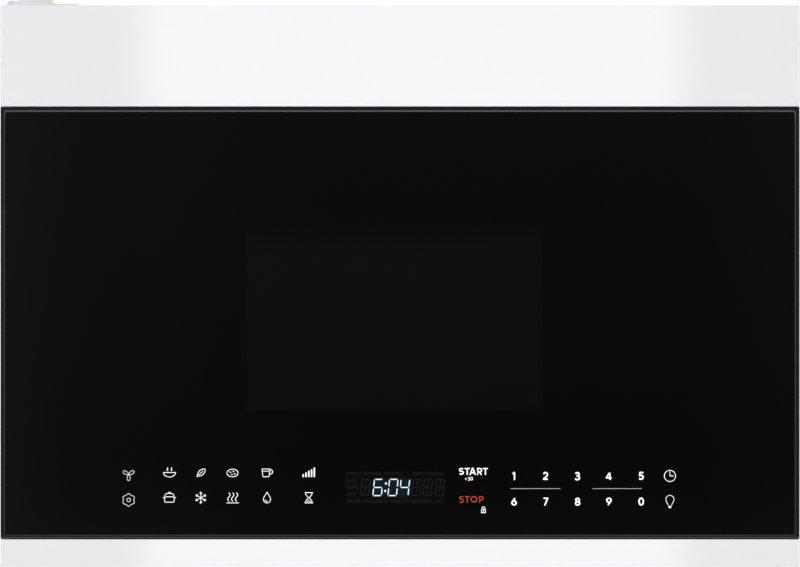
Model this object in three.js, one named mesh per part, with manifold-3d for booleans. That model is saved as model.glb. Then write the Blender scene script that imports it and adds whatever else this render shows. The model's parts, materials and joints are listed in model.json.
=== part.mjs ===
// Over-the-range microwave oven, 24 inch cabinet width: a wall-hung oven with a
// cooker hood built into its case. Millimetres, +Z up, +X to the right of a person
// facing the oven, +Y into the wall. The origin is the middle of the wall plate's
// back face: the oven hangs on that plate.
import * as THREE from "three";
import { mergeVertices } from "three/addons/utils/BufferGeometryUtils.js";
import Module from "manifold-3d";

const wasm = await Module();
wasm.setup();

// ---------------------------------------------------------------- dimensions
const W = 606; // overall width, 23 7/8 in
const H = 426; // height of the case, 16 3/4 in
const D = 391; // wall to the face of the door frame, 15 3/8 in
const XS = W / 2;
const SHEET = 0.8; // case sheet steel
const Y_FACE = -D; // face of the door frame
const Y_PANEL = -390.8; // face of the white panels above and below the door
const Y_CASE = -350; // plane of the front plate
const PANEL_Z = 349.4; // lower edge of the white vent panel
const TRIM_Z = 20.9; // upper edge of the white bottom trim
const DOOR = { x: 303, z0: 21.4, z1: 348.9, border: 3.4, back: -356 };
const CAV = { x0: -272, x1: 150, y0: -15, z0: 88, z1: 322 }; // inside of the oven cavity
const PIN = { x: -293, y: -377, r: 3 }; // door hinge axis
const LATCH_X = 268; // latch hooks, at the free side of the door
const WALL = 0.8; // cavity sheet steel
const TT = { x: -61, y: -180, r: 157.5 }; // turntable axis and tray radius, 12 3/8 in tray
const FAN = { x: 225, z: 235, r: 53 }; // magnetron cooling fan, axis along Y
const BLOWER = { y: -100, z: 375, r: 40 }; // hood blower, axis along X
const OUTLET = { x: 127, y0: -141, y1: -59 }; // exhaust outlet, 10 x 3 1/4 in duct

// ---------------------------------------------------------------- materials
const mat = (color, roughness, metalness) =>
  new THREE.MeshStandardMaterial({ color, roughness, metalness });
const M = {
  white: mat(0xf3f4f5, 0.35, 0.0),
  charcoal: mat(0x2b2c2d, 0.45, 0.0),
  glass: mat(0x0b0b0c, 0.05, 0.0),
  galv: mat(0xb4b8bb, 0.4, 0.9),
  enamel: mat(0xc9cac7, 0.4, 0.1),
  blackSteel: mat(0x1c1d1f, 0.5, 0.3),
  clear: mat(0xcfe0e4, 0.05, 0.0),
  mica: mat(0xc8b79a, 0.6, 0.0),
  steel: mat(0x9a9da0, 0.35, 1.0),
  alu: mat(0xc6c8ca, 0.4, 1.0),
  copper: mat(0xb8672f, 0.4, 0.8),
  plastic: mat(0xdedfd9, 0.5, 0.0),
  darkPlastic: mat(0x202123, 0.5, 0.0),
  pcb: mat(0x1f6b3a, 0.5, 0.0),
  carbon: mat(0x1a1a1a, 0.95, 0.0),
  lens: mat(0xeef2f4, 0.25, 0.0),
  nylon: mat(0xe9e7de, 0.45, 0.0),
};

// ---------------------------------------------------------------- solids
function solid(geometry) {
  const g = geometry.clone();
  g.deleteAttribute("normal");
  g.deleteAttribute("uv");
  const m = mergeVertices(g, 1e-4);
  return new wasm.Manifold(
    new wasm.Mesh({
      numProp: 3,
      vertProperties: new Float32Array(m.attributes.position.array),
      triVerts: new Uint32Array(m.index.array),
    }),
  );
}

// A box by its limits.
function box(x0, x1, y0, y1, z0, z1) {
  return solid(
    new THREE.BoxGeometry(x1 - x0, y1 - y0, z1 - z0).translate(
      (x0 + x1) / 2,
      (y0 + y1) / 2,
      (z0 + z1) / 2,
    ),
  );
}

// A cylinder along an axis from a to b, its centre line through (u, v) of the other two axes.
function cyl(axis, r, a, b, u, v, seg = 24, r2 = r) {
  const g = new THREE.CylinderGeometry(r2, r, b - a, seg).translate(0, (a + b) / 2, 0);
  if (axis === "z") return solid(g.rotateX(Math.PI / 2).translate(u, v, 0));
  if (axis === "x") return solid(g.rotateZ(-Math.PI / 2).translate(0, u, v));
  return solid(g.translate(u, 0, v));
}

// A ring turned from a profile of [radius, height] points about the Z axis.
function lathe(points, seg, x, y) {
  const g = new THREE.LatheGeometry(
    points.map(([r, z]) => new THREE.Vector2(r, z)),
    seg,
  )
    .rotateX(Math.PI / 2)
    .translate(x, y, 0);
  let s = solid(g);
  if (s.volume() < 0) {
    const flipped = g.toNonIndexed();
    const p = flipped.attributes.position.array;
    for (let i = 0; i < p.length; i += 9)
      for (let k = 0; k < 3; k++) [p[i + k], p[i + 3 + k]] = [p[i + 3 + k], p[i + k]];
    s = solid(new THREE.BufferGeometry().setAttribute("position", flipped.attributes.position));
  }
  return s;
}

// A flat outline of [a, b] points extruded along an axis between two limits.
// axis z: (a, b) = (x, y); axis x: (a, b) = (y, z); axis y: (a, b) = (x, z).
function prism(axis, points, lo, hi) {
  const shape = new THREE.Shape(points.map(([a, b]) => new THREE.Vector2(a, b)));
  const g = new THREE.ExtrudeGeometry(shape, { depth: hi - lo, bevelEnabled: false });
  const p = g.attributes.position;
  for (let i = 0; i < p.count; i++) {
    const a = p.getX(i);
    const b = p.getY(i);
    const t = p.getZ(i) + lo;
    if (axis === "z") p.setXYZ(i, a, b, t);
    else if (axis === "x") p.setXYZ(i, t, a, b);
    else p.setXYZ(i, a, hi + lo - t, b);
  }
  return solid(g);
}

const union = (...parts) => parts.flat().reduce((a, b) => a.add(b));
const cut = (a, ...tools) => tools.flat().reduce((s, t) => s.subtract(t), a);
const range = (n) => [...Array(n).keys()];

// A flat ring in the XZ plane: outer limits less inner limits, between two depths.
const frameRing = (o, i, y0, y1) =>
  cut(box(o[0], o[1], y0, y1, o[2], o[3]), box(i[0], i[1], y0 - 1, y1 + 1, i[2], i[3]));

// ---------------------------------------------------------------- assembly
const oven = new THREE.Group();
const lift = new THREE.Group(); // the pieces below count height from the underside of the case
lift.position.set(0, 0, -H / 2);
oven.add(lift);

function piece(name, material, s, parent = lift) {
  const m = s.getMesh();
  const g = new THREE.BufferGeometry();
  const n = m.numProp;
  const v = new Float32Array(m.numVert * 3);
  for (let i = 0; i < m.numVert; i++) v.set(m.vertProperties.subarray(i * n, i * n + 3), i * 3);
  g.setAttribute("position", new THREE.BufferAttribute(v, 3));
  g.setIndex(new THREE.BufferAttribute(new Uint32Array(m.triVerts), 1));
  g.computeVertexNormals();
  const mesh = new THREE.Mesh(g, material);
  mesh.name = name;
  parent.add(mesh);
  return mesh;
}

// ---- case
{
  // Top and both sides, one folded sheet.
  let s = cut(
    union(
      box(-XS, XS, Y_CASE, -4.3, 1.5, H),
      box(-222, -178, -340, -296, H - 1, H + 1), // raised pads round the cabinet bolts
      box(178, 222, -340, -296, H - 1, H + 1),
    ),
    box(-XS + SHEET, XS - SHEET, Y_CASE - 1, -3, 0, H - SHEET),
    box(-OUTLET.x, OUTLET.x, OUTLET.y0, OUTLET.y1, H - 3, H + 3), // exhaust outlet
    cyl("z", 9, H - 3, H + 3, -280, -325, 16), // supply cord
    cyl("z", 4, H - 3, H + 3, -200, -318, 12), // bolts from the cabinet above
    cyl("z", 4, H - 3, H + 3, 200, -318, 12),
  );
  piece("outer_case", M.white, s);

  // Back sheet with three slots for the hooks of the wall plate.
  s = box(-302.7, 302.7, -4, -3.2, 1.5, 425.7);
  for (const x of [-180, 0, 180]) s = s.subtract(box(x - 22, x + 22, -6, 0, 42, 64));
  piece("back_panel", M.galv, s);

  // Base: filter openings left and right, lamp opening at the front, flanges front and back.
  s = union(
    box(-XS, XS, Y_CASE, -4.3, 0, 1),
    box(-300, 300, -349.6, -348.8, 0.8, 20),
    box(-300, 300, -5.6, -4.8, 0.8, 18),
  );
  s = cut(
    s,
    box(-276, -124, -268, -52, -1, 3),
    box(124, 276, -268, -52, -1, 3),
    box(-42, 42, -342, -296, -1, 3),
  );
  // Intake slots for the cooling air, between the filters.
  for (const i of range(6)) s = s.subtract(box(-60, 60, -230 + 24 * i, -226.6 + 24 * i, -1, 3));
  piece("base_plate", M.white, s);

  // Wall plate: screwed to the wall studs, its three hooks hold the back of the oven.
  s = box(-265, 265, -1.2, 0, 38, 386);
  for (const x of [-225, -135, -45, 45, 135, 225])
    for (const z of [110, 320]) s = s.subtract(box(x - 22, x + 22, -3, 2, z - 7, z + 7));
  for (const x of [-203, 0, 203])
    for (const z of [80, 350]) s = s.subtract(cyl("y", 4, -3, 2, x, z, 12));
  for (const x of [-180, 0, 180])
    s = union(s, box(x - 18, x + 18, -9, -1, 45, 46.2), box(x - 18, x + 18, -9, -7.8, 45, 57));
  piece("wall_mounting_plate", M.galv, s);

  // White panel above the door, open at the back, with the warm-air slots in its top.
  s = cut(
    box(-XS, XS, Y_PANEL, -350.5, PANEL_Z, H),
    box(-XS + 2.2, XS - 2.2, Y_PANEL + 2.5, -349, PANEL_Z + 2.2, H - 2.2),
  );
  for (const i of range(17))
    for (const y of [-377, -367])
      s = s.subtract(box(-280 + 33 * i, -252 + 33 * i, y, y + 3.6, H - 4, H + 2));
  piece("top_vent_panel", M.white, s);

  // White trim below the door, a channel open at the back.
  s = cut(
    box(-XS, XS, Y_PANEL, -350.5, 0, TRIM_Z),
    box(-XS + 2.2, XS - 2.2, Y_PANEL + 2.2, -349, 2, TRIM_Z - 2),
  );
  piece("bottom_trim", M.white, s);

  // Moulded outlet for the supply cord, stepped, on the left of the case top.
  s = union(
    box(-302.4, -248, -345, -305, H + 0.3, H + 3.2),
    prism("y", [[-302.4, H + 1], [-300.2, H + 6], [-292.6, H + 6], [-292.6, H + 1]], -343, -307),
    prism("y", [[-293.6, H + 1], [-293.6, H + 10], [-291.6, H + 12], [-269.7, H + 12], [-266.7, H + 9], [-266.7, H + 1]], -343, -307),
  );
  s = cut(s, cyl("z", 5, H - 1, H + 14, -280, -325, 20));
  piece("power_cord_gland", M.white, s);
}

// ---- hood air path
{
  // Exhaust adaptor: flange and duct collar with pivot holes for the damper.
  let s = cut(
    union(
      box(-140, 140, -152, -48, H + 0.3, H + 1.3),
      box(-OUTLET.x - 1, OUTLET.x + 1, OUTLET.y0 - 1, OUTLET.y1 + 1, H + 0.3, H + 15),
    ),
    box(-OUTLET.x, OUTLET.x, OUTLET.y0, OUTLET.y1, H - 2, H + 20),
    cyl("x", 1.9, -130, 130, -62, H + 5, 12),
  );
  piece("exhaust_adaptor", M.galv, s);
  s = union(
    box(-125.5, 125.5, -139.5, -61.2, H + 4.5, H + 5.5),
    cyl("x", 1.5, -127.9, 127.9, -62, H + 5, 12),
  );
  piece("damper_flap", M.galv, s);

  // Blower housing, open to the outlet above, with a round inlet in each end.
  s = cut(
    box(-178, 178, -155, -45, 329.2, H - 1.6),
    box(-177.2, 177.2, -154.2, -45.8, 330, H + 5),
    cyl("x", 33, -180, 180, BLOWER.y, BLOWER.z, 32),
  );
  piece("vent_blower_housing", M.galv, s);
  s = cut(
    union(
      cyl("x", 30, -38, 38, BLOWER.y, BLOWER.z, 32),
      box(-16, 16, -124, -76, 330.4, 352),
      cyl("x", 14, -48, 48, BLOWER.y, BLOWER.z, 20),
    ),
    cyl("x", 4.6, -50, 50, BLOWER.y, BLOWER.z, 16),
  );
  piece("vent_blower_motor", M.steel, s);
  piece("blower_shaft", M.steel, cyl("x", 4, -166, 166, BLOWER.y, BLOWER.z, 16));
  for (const side of [-1, 1]) {
    const lim = (a, b) => (side < 0 ? [-b, -a] : [a, b]);
    let w = union(
      cyl("x", BLOWER.r, ...lim(58, 60), BLOWER.y, BLOWER.z, 32),
      cyl("x", 11, ...lim(58, 74), BLOWER.y, BLOWER.z, 16),
      cut(
        cyl("x", BLOWER.r, ...lim(161, 164), BLOWER.y, BLOWER.z, 32),
        cyl("x", 32, ...lim(160, 165), BLOWER.y, BLOWER.z, 32),
      ),
    );
    for (const i of range(20)) {
      const g = new THREE.BoxGeometry(105, 1.1, 8)
        .translate(0, 0, 0)
        .rotateX(0.5)
        .translate(side * 110.5, 0, 35.6)
        .rotateX((i / 20) * 2 * Math.PI)
        .translate(0, BLOWER.y, BLOWER.z);
      w = w.add(solid(g));
    }
    w = w.subtract(cyl("x", 4.3, ...lim(50, 80), BLOWER.y, BLOWER.z, 16));
    piece(side < 0 ? "blower_wheel_left" : "blower_wheel_right", M.darkPlastic, w);
  }

  // Charcoal filter for the warm air that goes back into the room.
  s = frameRing([-190, 190, 357, 417], [-183, 183, 364, 410], -347, -335).add(
    box(-184, 184, -344.5, -337.5, 363, 411),
  );
  piece("charcoal_filter", M.carbon, s);

  // Aluminium mesh grease filters in the base.
  for (const [name, x0] of [["grease_filter_left", -274], ["grease_filter_right", 126]]) {
    s = union(
      cut(
        box(x0, x0 + 148, -266, -54, 0.3, 6.3),
        box(x0 + 8, x0 + 140, -258, -62, -1, 8),
      ),
      box(x0 + 7, x0 + 141, -259, -61, 2.6, 3.8),
    );
    piece(name, M.alu, s);
  }

  // Cooktop lamp: lens in the base and the light board above it.
  s = union(box(-41.5, 41.5, -341.5, -296.5, 0.2, 3.2), box(-46, 46, -346, -292, 1.6, 3.2));
  piece("cooktop_lamp_lens", M.lens, s);
  s = box(-38, 38, -338, -300, 14, 15.6);
  for (const x of [-24, -8, 8, 24])
    for (const y of [-328, -312]) s = s.add(box(x - 2.5, x + 2.5, y - 2.5, y + 2.5, 12.8, 14.5));
  for (const x of [-34, 34]) s = s.add(cyl("z", 2, 3.6, 14.5, x, -319, 10));
  piece("cooktop_lamp_board", M.pcb, s);
}

// ---- oven cavity
{
  let s = cut(
    box(CAV.x0 - WALL, CAV.x1 + WALL, -348.7, CAV.y0 + WALL, CAV.z0 - WALL, CAV.z1 + WALL),
    box(CAV.x0, CAV.x1, -352, CAV.y0, CAV.z0, CAV.z1),
    box(CAV.x1 - 1, CAV.x1 + 3, -225, -145, 190, 236), // waveguide port
    cyl("z", 6, CAV.z0 - 3, CAV.z0 + 3, TT.x, TT.y, 20), // turntable drive
    cyl("x", 9, CAV.x1 - 2, CAV.x1 + 3, -292, 292, 16), // lamp port
  );
  piece("cavity_box", M.enamel, s);

  // Front plate welded round the mouth of the cavity, with the latch slots at the right.
  s = cut(
    box(-301.5, 301.5, Y_CASE, Y_CASE + 1, 22, 348.8),
    box(CAV.x0, CAV.x1, -352, -348, CAV.z0, CAV.z1),
    box(LATCH_X - 5, LATCH_X + 7, -352, -348, 286, 316),
    box(LATCH_X - 5, LATCH_X + 7, -352, -348, 121, 161),
  );
  piece("cavity_front_plate", M.enamel, s);

  piece("waveguide_cover", M.mica, box(148.7, 149.6, -236, -134, 181, 245));
  s = cut(
    box(151.3, 176.3, -240, -130, 150, 290),
    box(150, 175.3, -239, -131, 151, 289),
    cyl("x", 12, 174, 178, -185, 262, 20),
  );
  piece("waveguide", M.galv, s);
}

// ---- magnetron and its supply, in the bay at the right
{
  let s = union(
    box(176.8, 179.2, -230, -140, 222, 302),
    box(253.6, 256, -230, -140, 222, 302),
    box(177, 256, -230, -140, 222, 224.4),
    box(177, 256, -230, -140, 299.6, 302),
    cyl("x", 19, 177, 255, -185, 262, 20),
    cyl("x", 8, 157, 178, -185, 262, 16),
    box(255, 286, -220, -150, 234, 290),
  );
  for (const i of range(7)) s = s.add(box(190 + 9 * i, 190.9 + 9 * i, -226, -144, 223, 300.5));
  piece("magnetron", M.steel, s);

  s = union(
    box(172, 284, -302, -242, 63.7, 66.2),
    box(180, 276, -302, -242, 66, 134),
    box(202, 254, -318, -226, 82, 118),
  );
  piece("hv_transformer", M.copper, s);

  const rr = [];
  for (const [cx, cz, a0] of [[-170, 80, -90], [-190, 80, 90]])
    for (const i of range(7)) {
      const a = ((a0 + 30 * i) * Math.PI) / 180;
      rr.push([cx + 16 * Math.cos(a), cz + 16 * Math.sin(a)]);
    }
  s = union(
    prism("x", rr, 184, 280),
    box(280, 288, -184, -181, 76, 84),
    box(280, 288, -179, -176, 76, 84),
    box(183, 280, -206.5, -153.5, 63.7, 65),
  );
  piece("hv_capacitor", M.alu, s);

  piece(
    "component_bay_floor",
    M.galv,
    union(box(153, 301.5, -348, -12, 62, 63.4), box(153, 154.4, -348, -12, 36, 63)),
  );

  // Cooling fan: plate, motor, blade.
  s = cut(
    union(
      box(155, 300, -118, -116.6, 160, 308),
      cyl("y", 59, -118, -96, FAN.x, FAN.z, 32),
    ),
    cyl("y", 57, -125, -90, FAN.x, FAN.z, 32),
  );
  piece("cooling_fan_shroud", M.galv, s);
  s = cut(
    union(
      box(FAN.x - 27, FAN.x + 27, -78, -56, FAN.z - 34, FAN.z + 24),
      cyl("y", 15, -84, -50, FAN.x, FAN.z, 20),
      box(FAN.x - 68, FAN.x + 68, -52, -50, FAN.z - 8, FAN.z + 8),
    ),
    cyl("y", 2.4, -86, -60, FAN.x, FAN.z, 12),
  );
  piece("cooling_fan_motor", M.steel, s);
  s = union(cyl("y", 13, -112, -94, FAN.x, FAN.z, 20), cyl("y", 1.9, -96, -66, FAN.x, FAN.z, 10));
  for (const i of range(5)) {
    const g = new THREE.BoxGeometry(34, 1.4, 43)
      .rotateZ(0.45)
      .translate(0, 0, 31)
      .rotateY((i / 5) * 2 * Math.PI)
      .translate(FAN.x, -103, FAN.z);
    s = s.add(solid(g));
  }
  s = s.intersect(cyl("y", FAN.r, -116, -60, FAN.x, FAN.z, 40));
  piece("cooling_fan_blade", M.darkPlastic, s);

  // Boards.
  s = box(296.4, 298, -305, -205, 150, 290);
  for (const [y0, y1, z0, z1, x] of [
    [-298, -280, 260, 285, 280],
    [-274, -256, 260, 285, 280],
    [-250, -232, 260, 285, 280],
    [-295, -255, 165, 205, 268],
    [-242, -218, 170, 190, 284],
  ])
    s = s.add(box(x, 297, y0, y1, z0, z1));
  piece("power_board", M.pcb, s);
  s = union(
    box(-292, -212, -345, -292, 392, 393.6),
    box(-286, -262, -338, -316, 393, 410),
    cyl("z", 9, 393, 406, -240, -318, 16),
    box(-226, -217, -340, -300, 393, 404),
  );
  piece("noise_filter_board", M.pcb, s);

  // Cavity lamp beside its port, and the steam sensor on the cavity roof.
  s = union(
    cyl("x", 8, 152, 172, -292, 292, 16),
    cyl("x", 12, 171, 188, -292, 292, 16),
    box(186, 189, -310, -274, 280, 304),
  );
  piece("cavity_lamp", M.lens, s);
  s = union(
    cyl("z", 14, CAV.z1 + 1.4, CAV.z1 + 3, -215, -60, 20),
    cyl("z", 7, CAV.z1 + 1.4, CAV.z1 + 14, -215, -60, 16),
  );
  piece("humidity_sensor", M.steel, s);
}

// ---- turntable
{
  let s = cut(
    union(
      cyl("z", 24.5, 70, CAV.z0 - 1.4, TT.x, TT.y, 32),
      box(TT.x - 34, TT.x + 34, TT.y - 7, TT.y + 7, 84.8, CAV.z0 - 1.4),
      box(TT.x + 20, TT.x + 32, TT.y - 9, TT.y + 9, 72, 82),
    ),
    cyl("z", 4.4, 76, 90, TT.x, TT.y, 16),
  );
  piece("turntable_motor", M.galv, s);

  // Drive: shaft through the cavity floor and a three-armed coupler under the tray.
  s = union(
    cyl("z", 3.5, 78, 100, TT.x, TT.y, 16),
    cyl("z", 9, 89.5, 103.8, TT.x, TT.y, 20),
  );
  for (const i of range(3)) {
    const g = new THREE.BoxGeometry(22, 7, 6)
      .translate(13, 0, 0)
      .rotateZ((i / 3) * 2 * Math.PI + Math.PI / 2)
      .translate(TT.x, TT.y, 100.8);
    s = s.add(solid(g));
  }
  piece("turntable_coupler", M.nylon, s);

  // Glass tray with a raised rim and three driving lugs under its middle.
  s = lathe(
    [
      [0, 105],
      [149, 105],
      [157.5, 113],
      [157.5, 116],
      [154, 116],
      [148, 109.5],
      [0, 109.5],
    ],
    64,
    TT.x,
    TT.y,
  );
  for (const i of range(3)) {
    const g = new THREE.BoxGeometry(9, 8, 6)
      .translate(19, 0, 0)
      .rotateZ((i / 3) * 2 * Math.PI + Math.PI / 6)
      .translate(TT.x, TT.y, 102.4);
    s = s.add(solid(g));
  }
  piece("glass_turntable", M.clear, s);

  // Roller ring: a hoop with three stub axles, and a roller on each.
  const R = 92;
  const roller = { r: 8, mid: 103, z: CAV.z0 + 8.3 };
  s = lathe([[R - 5, 92.5], [R + 3, 92.5], [R + 3, 100], [R - 5, 100], [R - 5, 92.5]], 48, TT.x, TT.y);
  const spin = (g, i) =>
    g.rotateZ((i / 3) * 2 * Math.PI - Math.PI / 2).translate(TT.x, TT.y, roller.z);
  for (const i of range(3)) {
    const axle = new THREE.CylinderGeometry(2, 2, 18, 10).rotateZ(-Math.PI / 2).translate(101, 0, 0);
    const cap = new THREE.CylinderGeometry(3.6, 3.6, 1.4, 12)
      .rotateZ(-Math.PI / 2)
      .translate(109.3, 0, 0);
    s = union(s, solid(spin(axle, i)), solid(spin(cap, i)));
  }
  piece("roller_ring", M.nylon, s);
  for (const i of range(3)) {
    const body = new THREE.CylinderGeometry(roller.r, roller.r, 7, 24)
      .rotateZ(-Math.PI / 2)
      .translate(roller.mid + 1, 0, 0);
    const bore = new THREE.CylinderGeometry(2.4, 2.4, 12, 12)
      .rotateZ(-Math.PI / 2)
      .translate(roller.mid + 1, 0, 0);
    piece("roller_" + (i + 1), M.nylon, solid(spin(body, i)).subtract(solid(spin(bore, i))));
  }
}

// ---- door interlock on the chassis
{
  let s = box(281.4, 283.4, -348.6, -312, 115, 325);
  for (const z of [306, 151.8]) s = s.add(box(252, 282, -331, -315, z, z + 2));
  for (const z of [292, 126.4]) s = s.add(box(252, 282, -331, -315, z, z + 2));
  for (const z of [289.6, 124.6]) s = s.add(box(258, 282, -348.6, -343.6, z - 5.6, z)); // catches
  piece("latch_board", M.plastic, s);
  for (const [name, z] of [["primary", 300], ["secondary", 134.1], ["monitor", 145.9]]) {
    const b = cut(
      union(
        box(254, 281, -331, -315, z - 5.1, z + 5.1),
        box(257, 259, -315.5, -309, z - 3, z + 3),
        box(274, 276, -315.5, -309, z - 3, z + 3),
      ),
      box(LATCH_X - 2.4, LATCH_X + 2.4, -332, -323, z - 2.4, z + 2.4),
    );
    piece(name + "_switch", M.darkPlastic, b);
    piece(name + "_plunger", M.nylon, box(LATCH_X - 2, LATCH_X + 2, -334, -326, z - 2, z + 2));
  }
}

// ---- door
{
  const door = new THREE.Group();
  lift.add(door);
  const { x, z0, z1, border, back } = DOOR;
  const add = (name, material, s) => piece(name, material, s, door);

  // Frame: four walls, a rim behind the glass, hinge blocks at the left, finger pull at the right.
  let s = union(
    frameRing([-x, x, z0, z1], [-x + border, x - border, z0 + border, z1 - border], Y_FACE, back),
    frameRing([-x + 3, x - 3, z0 + 3, z1 - 3], [-291, 291, 34, 336], -386.2, -384.2),
    box(-300, -282, -384.4, -362.6, 326, z1 - 3),
    box(-300, -282, -384.4, -362.6, z0 + 3, 44),
    box(286.5, 300, -384.4, back, 146, 234),
  );
  const pull = cut(
    box(289, 305, -381.5, -358.5, 149, 231),
  );
  // The left back corner is chamfered so that it clears the chassis as the door turns.
  const chamfer = prism("z", [[-x - 1, -361], [-x - 1, back + 1], [-x + 5.2, back + 1]], 0, 400);
  s = cut(
    s,
    pull,
    chamfer,
    box(-304, -283, -387.2, -340, z1 - 3.1, z1 + 2), // room for the hinge leaves
    box(-304, -283, -387.2, -340, z0 - 2, z0 + 3.1),
    cyl("z", PIN.r + 0.3, z0 - 2, 60, PIN.x, PIN.y, 20),
    cyl("z", PIN.r + 0.3, 310, z1 + 2, PIN.x, PIN.y, 20),
  );
  add("door_frame", M.charcoal, s);

  // Glass: one sheet over the window, the controls and the display.
  add("door_glass", M.glass, box(-299.2, 299.2, -390.6, -386.6, 25.2, 345.1));

  // Inner steel: flange over the whole door, raised screen plate and choke wall round it.
  s = union(
    box(-298.5, 298.5, -362, -361.2, 26.3, 344),
    cut(box(-268, 146, -361.5, -353.5, 92, 318), box(-267.2, 145.2, -370, -354.3, 92.8, 317.2)),
    cut(box(-294, 172, -361.5, -355.5, 66, 342), box(-293.2, 171.2, -370, -350, 66.8, 341.2)),
  );
  s = cut(
    s,
    box(-267.2, 145.2, -363, -355, 92.8, 317.2),
    box(286, 300, -363, -360, 145.6, 234.4),
    box(LATCH_X - 4.5, LATCH_X + 4.5, -363, -360, 287, 315),
    box(LATCH_X - 4.5, LATCH_X + 4.5, -363, -360, 122, 160),
  );
  add("door_inner_panel", M.blackSteel, s);
  add(
    "door_choke_cover",
    M.darkPlastic,
    frameRing([-294, 172, 66, 342], [-268.6, 146.6, 91.4, 318.6], -355.2, -353.2),
  );
  add("door_inner_window", M.clear, box(-262, 140, -353.2, -352.2, 98, 312));
  s = cut(
    frameRing([-300.9, 300.9, 25.6, 344.7], [-294.4, 172.4, 65.6, 342.4], -355.7, -353.7),
    box(LATCH_X - 4.5, LATCH_X + 4.5, -358, -352, 287, 315),
    box(LATCH_X - 4.5, LATCH_X + 4.5, -358, -352, 122, 160),
    prism("z", [[-302, -361], [-302, -352], [-295.9, -352]], 0, 400),
  );
  add("door_rear_cover", M.darkPlastic, s);

  // Touch board and display behind the lower part of the glass.
  s = box(-215, 215, -383.8, -382.2, 36, 92);
  for (const [a, b, c, d, e] of [
    [-60, -30, 45, 75, -376],
    [20, 60, 50, 80, -378],
    [90, 130, 40, 56, -372],
    [-150, -120, 45, 60, -377],
  ])
    s = s.add(box(a, b, -382.6, e, c, d));
  add("control_board", M.pcb, s);
  add("display_module", M.darkPlastic, box(-42, 36, -386.3, -384.1, 46, 75));

  // Latch: one sliding bar with two hooks, pushed down by a coil spring.
  s = union(
    box(264, 272, -381, -373, 120, 318),
    box(266, 270, -375, -334.3, 295, 303.5),
    prism("x", [[-343, 296], [-334.3, 296], [-334.3, 293], [-337, 290], [-343, 290]], 266, 270),
    box(266, 270, -375, -334.3, 130, 151),
    prism("x", [[-343, 131], [-334.3, 131], [-334.3, 128], [-337, 125], [-343, 125]], 266, 270),
  );
  add("door_latch_hooks", M.nylon, s);

  const turns = 6;
  class Helix extends THREE.Curve {
    getPoint(t) {
      const a = t * turns * 2 * Math.PI;
      return new THREE.Vector3(
        LATCH_X + 3.4 * Math.cos(a),
        -377 + 3.4 * Math.sin(a),
        319.2 + t * 23.6,
      );
    }
  }
  const wire = new THREE.Shape(
    range(5).map((i) => {
      const a = (i / 5) * 2 * Math.PI;
      return new THREE.Vector2(0.6 * Math.cos(a), 0.6 * Math.sin(a));
    }),
  );
  const coil = new THREE.ExtrudeGeometry(wire, {
    steps: turns * 9,
    extrudePath: new Helix(),
    bevelEnabled: false,
  });
  add("latch_spring", M.steel, solid(coil));
}

// ---- hinge leaves and pins on the chassis
{
  const leaf = (za, zb) =>
    union(box(-300, -286, PIN.y, -350.6, za, zb), cyl("z", 7, za, zb, PIN.x, PIN.y, 24));
  let s = union(
    leaf(346.2, 348.2),
    cyl("z", PIN.r, 332, 347.2, PIN.x, PIN.y, 20),
    box(-300, -281, -352, -350.5, 319, 348.2),
  );
  piece("hinge_bracket_upper", M.galv, s);
  s = union(
    leaf(22.3, 24.1),
    cyl("z", PIN.r, 23.3, 38, PIN.x, PIN.y, 20),
    box(-300, -281, -352, -350.5, 22.3, 51),
  );
  piece("hinge_bracket_lower", M.galv, s);
}

export default oven;
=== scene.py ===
"""Over-the-range microwave oven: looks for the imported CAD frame. Metres, +Z up, the front faces -Y."""

import json
import math

import bmesh
import bpy
import numpy as np
from mathutils import Matrix, Vector


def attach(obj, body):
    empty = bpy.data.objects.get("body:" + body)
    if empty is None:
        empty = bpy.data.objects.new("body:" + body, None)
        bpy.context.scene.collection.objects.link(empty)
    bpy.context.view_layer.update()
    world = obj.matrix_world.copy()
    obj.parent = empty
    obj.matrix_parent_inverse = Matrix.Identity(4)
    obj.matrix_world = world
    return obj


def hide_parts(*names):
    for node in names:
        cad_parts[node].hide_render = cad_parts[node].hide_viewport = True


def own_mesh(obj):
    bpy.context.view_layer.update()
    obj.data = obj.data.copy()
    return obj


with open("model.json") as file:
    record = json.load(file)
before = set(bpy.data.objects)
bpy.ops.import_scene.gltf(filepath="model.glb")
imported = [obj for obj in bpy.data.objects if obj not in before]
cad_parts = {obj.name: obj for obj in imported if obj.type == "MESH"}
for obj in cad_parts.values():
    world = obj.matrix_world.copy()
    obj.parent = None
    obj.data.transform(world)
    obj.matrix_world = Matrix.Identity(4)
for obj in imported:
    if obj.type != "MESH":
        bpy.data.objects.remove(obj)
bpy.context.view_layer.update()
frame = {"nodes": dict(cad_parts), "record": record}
MM = 0.001
H2 = 213.0                    # half of the case height: heights below count from its underside
PX = 0.7585                   # millimetres per pixel of the 800 px wide picture at the door


def px(x, y):
    """Millimetres (X, Z) on the door's face for a pixel of the picture."""
    return ((x - 400.04) * PX, (567.0 - y) * PX - H2)


# ------------------------------------------------------------------ camera and lights
scene = bpy.context.scene
scene.view_settings.view_transform = "Standard"

cam_data = bpy.data.cameras.new("camera")
cam = bpy.data.objects.new("camera", cam_data)
scene.collection.objects.link(cam)
FAR = 3.5                     # a long lens: the picture shows hardly any perspective
cam.location = (-0.00003, -(0.391 + FAR), 0.00203)
cam.rotation_euler = (math.radians(90), 0, 0)
cam_data.sensor_width = 36
cam_data.lens = 36 * FAR / 0.6068
cam_data.clip_start = 0.05
cam_data.clip_end = 100
scene.camera = cam


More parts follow.
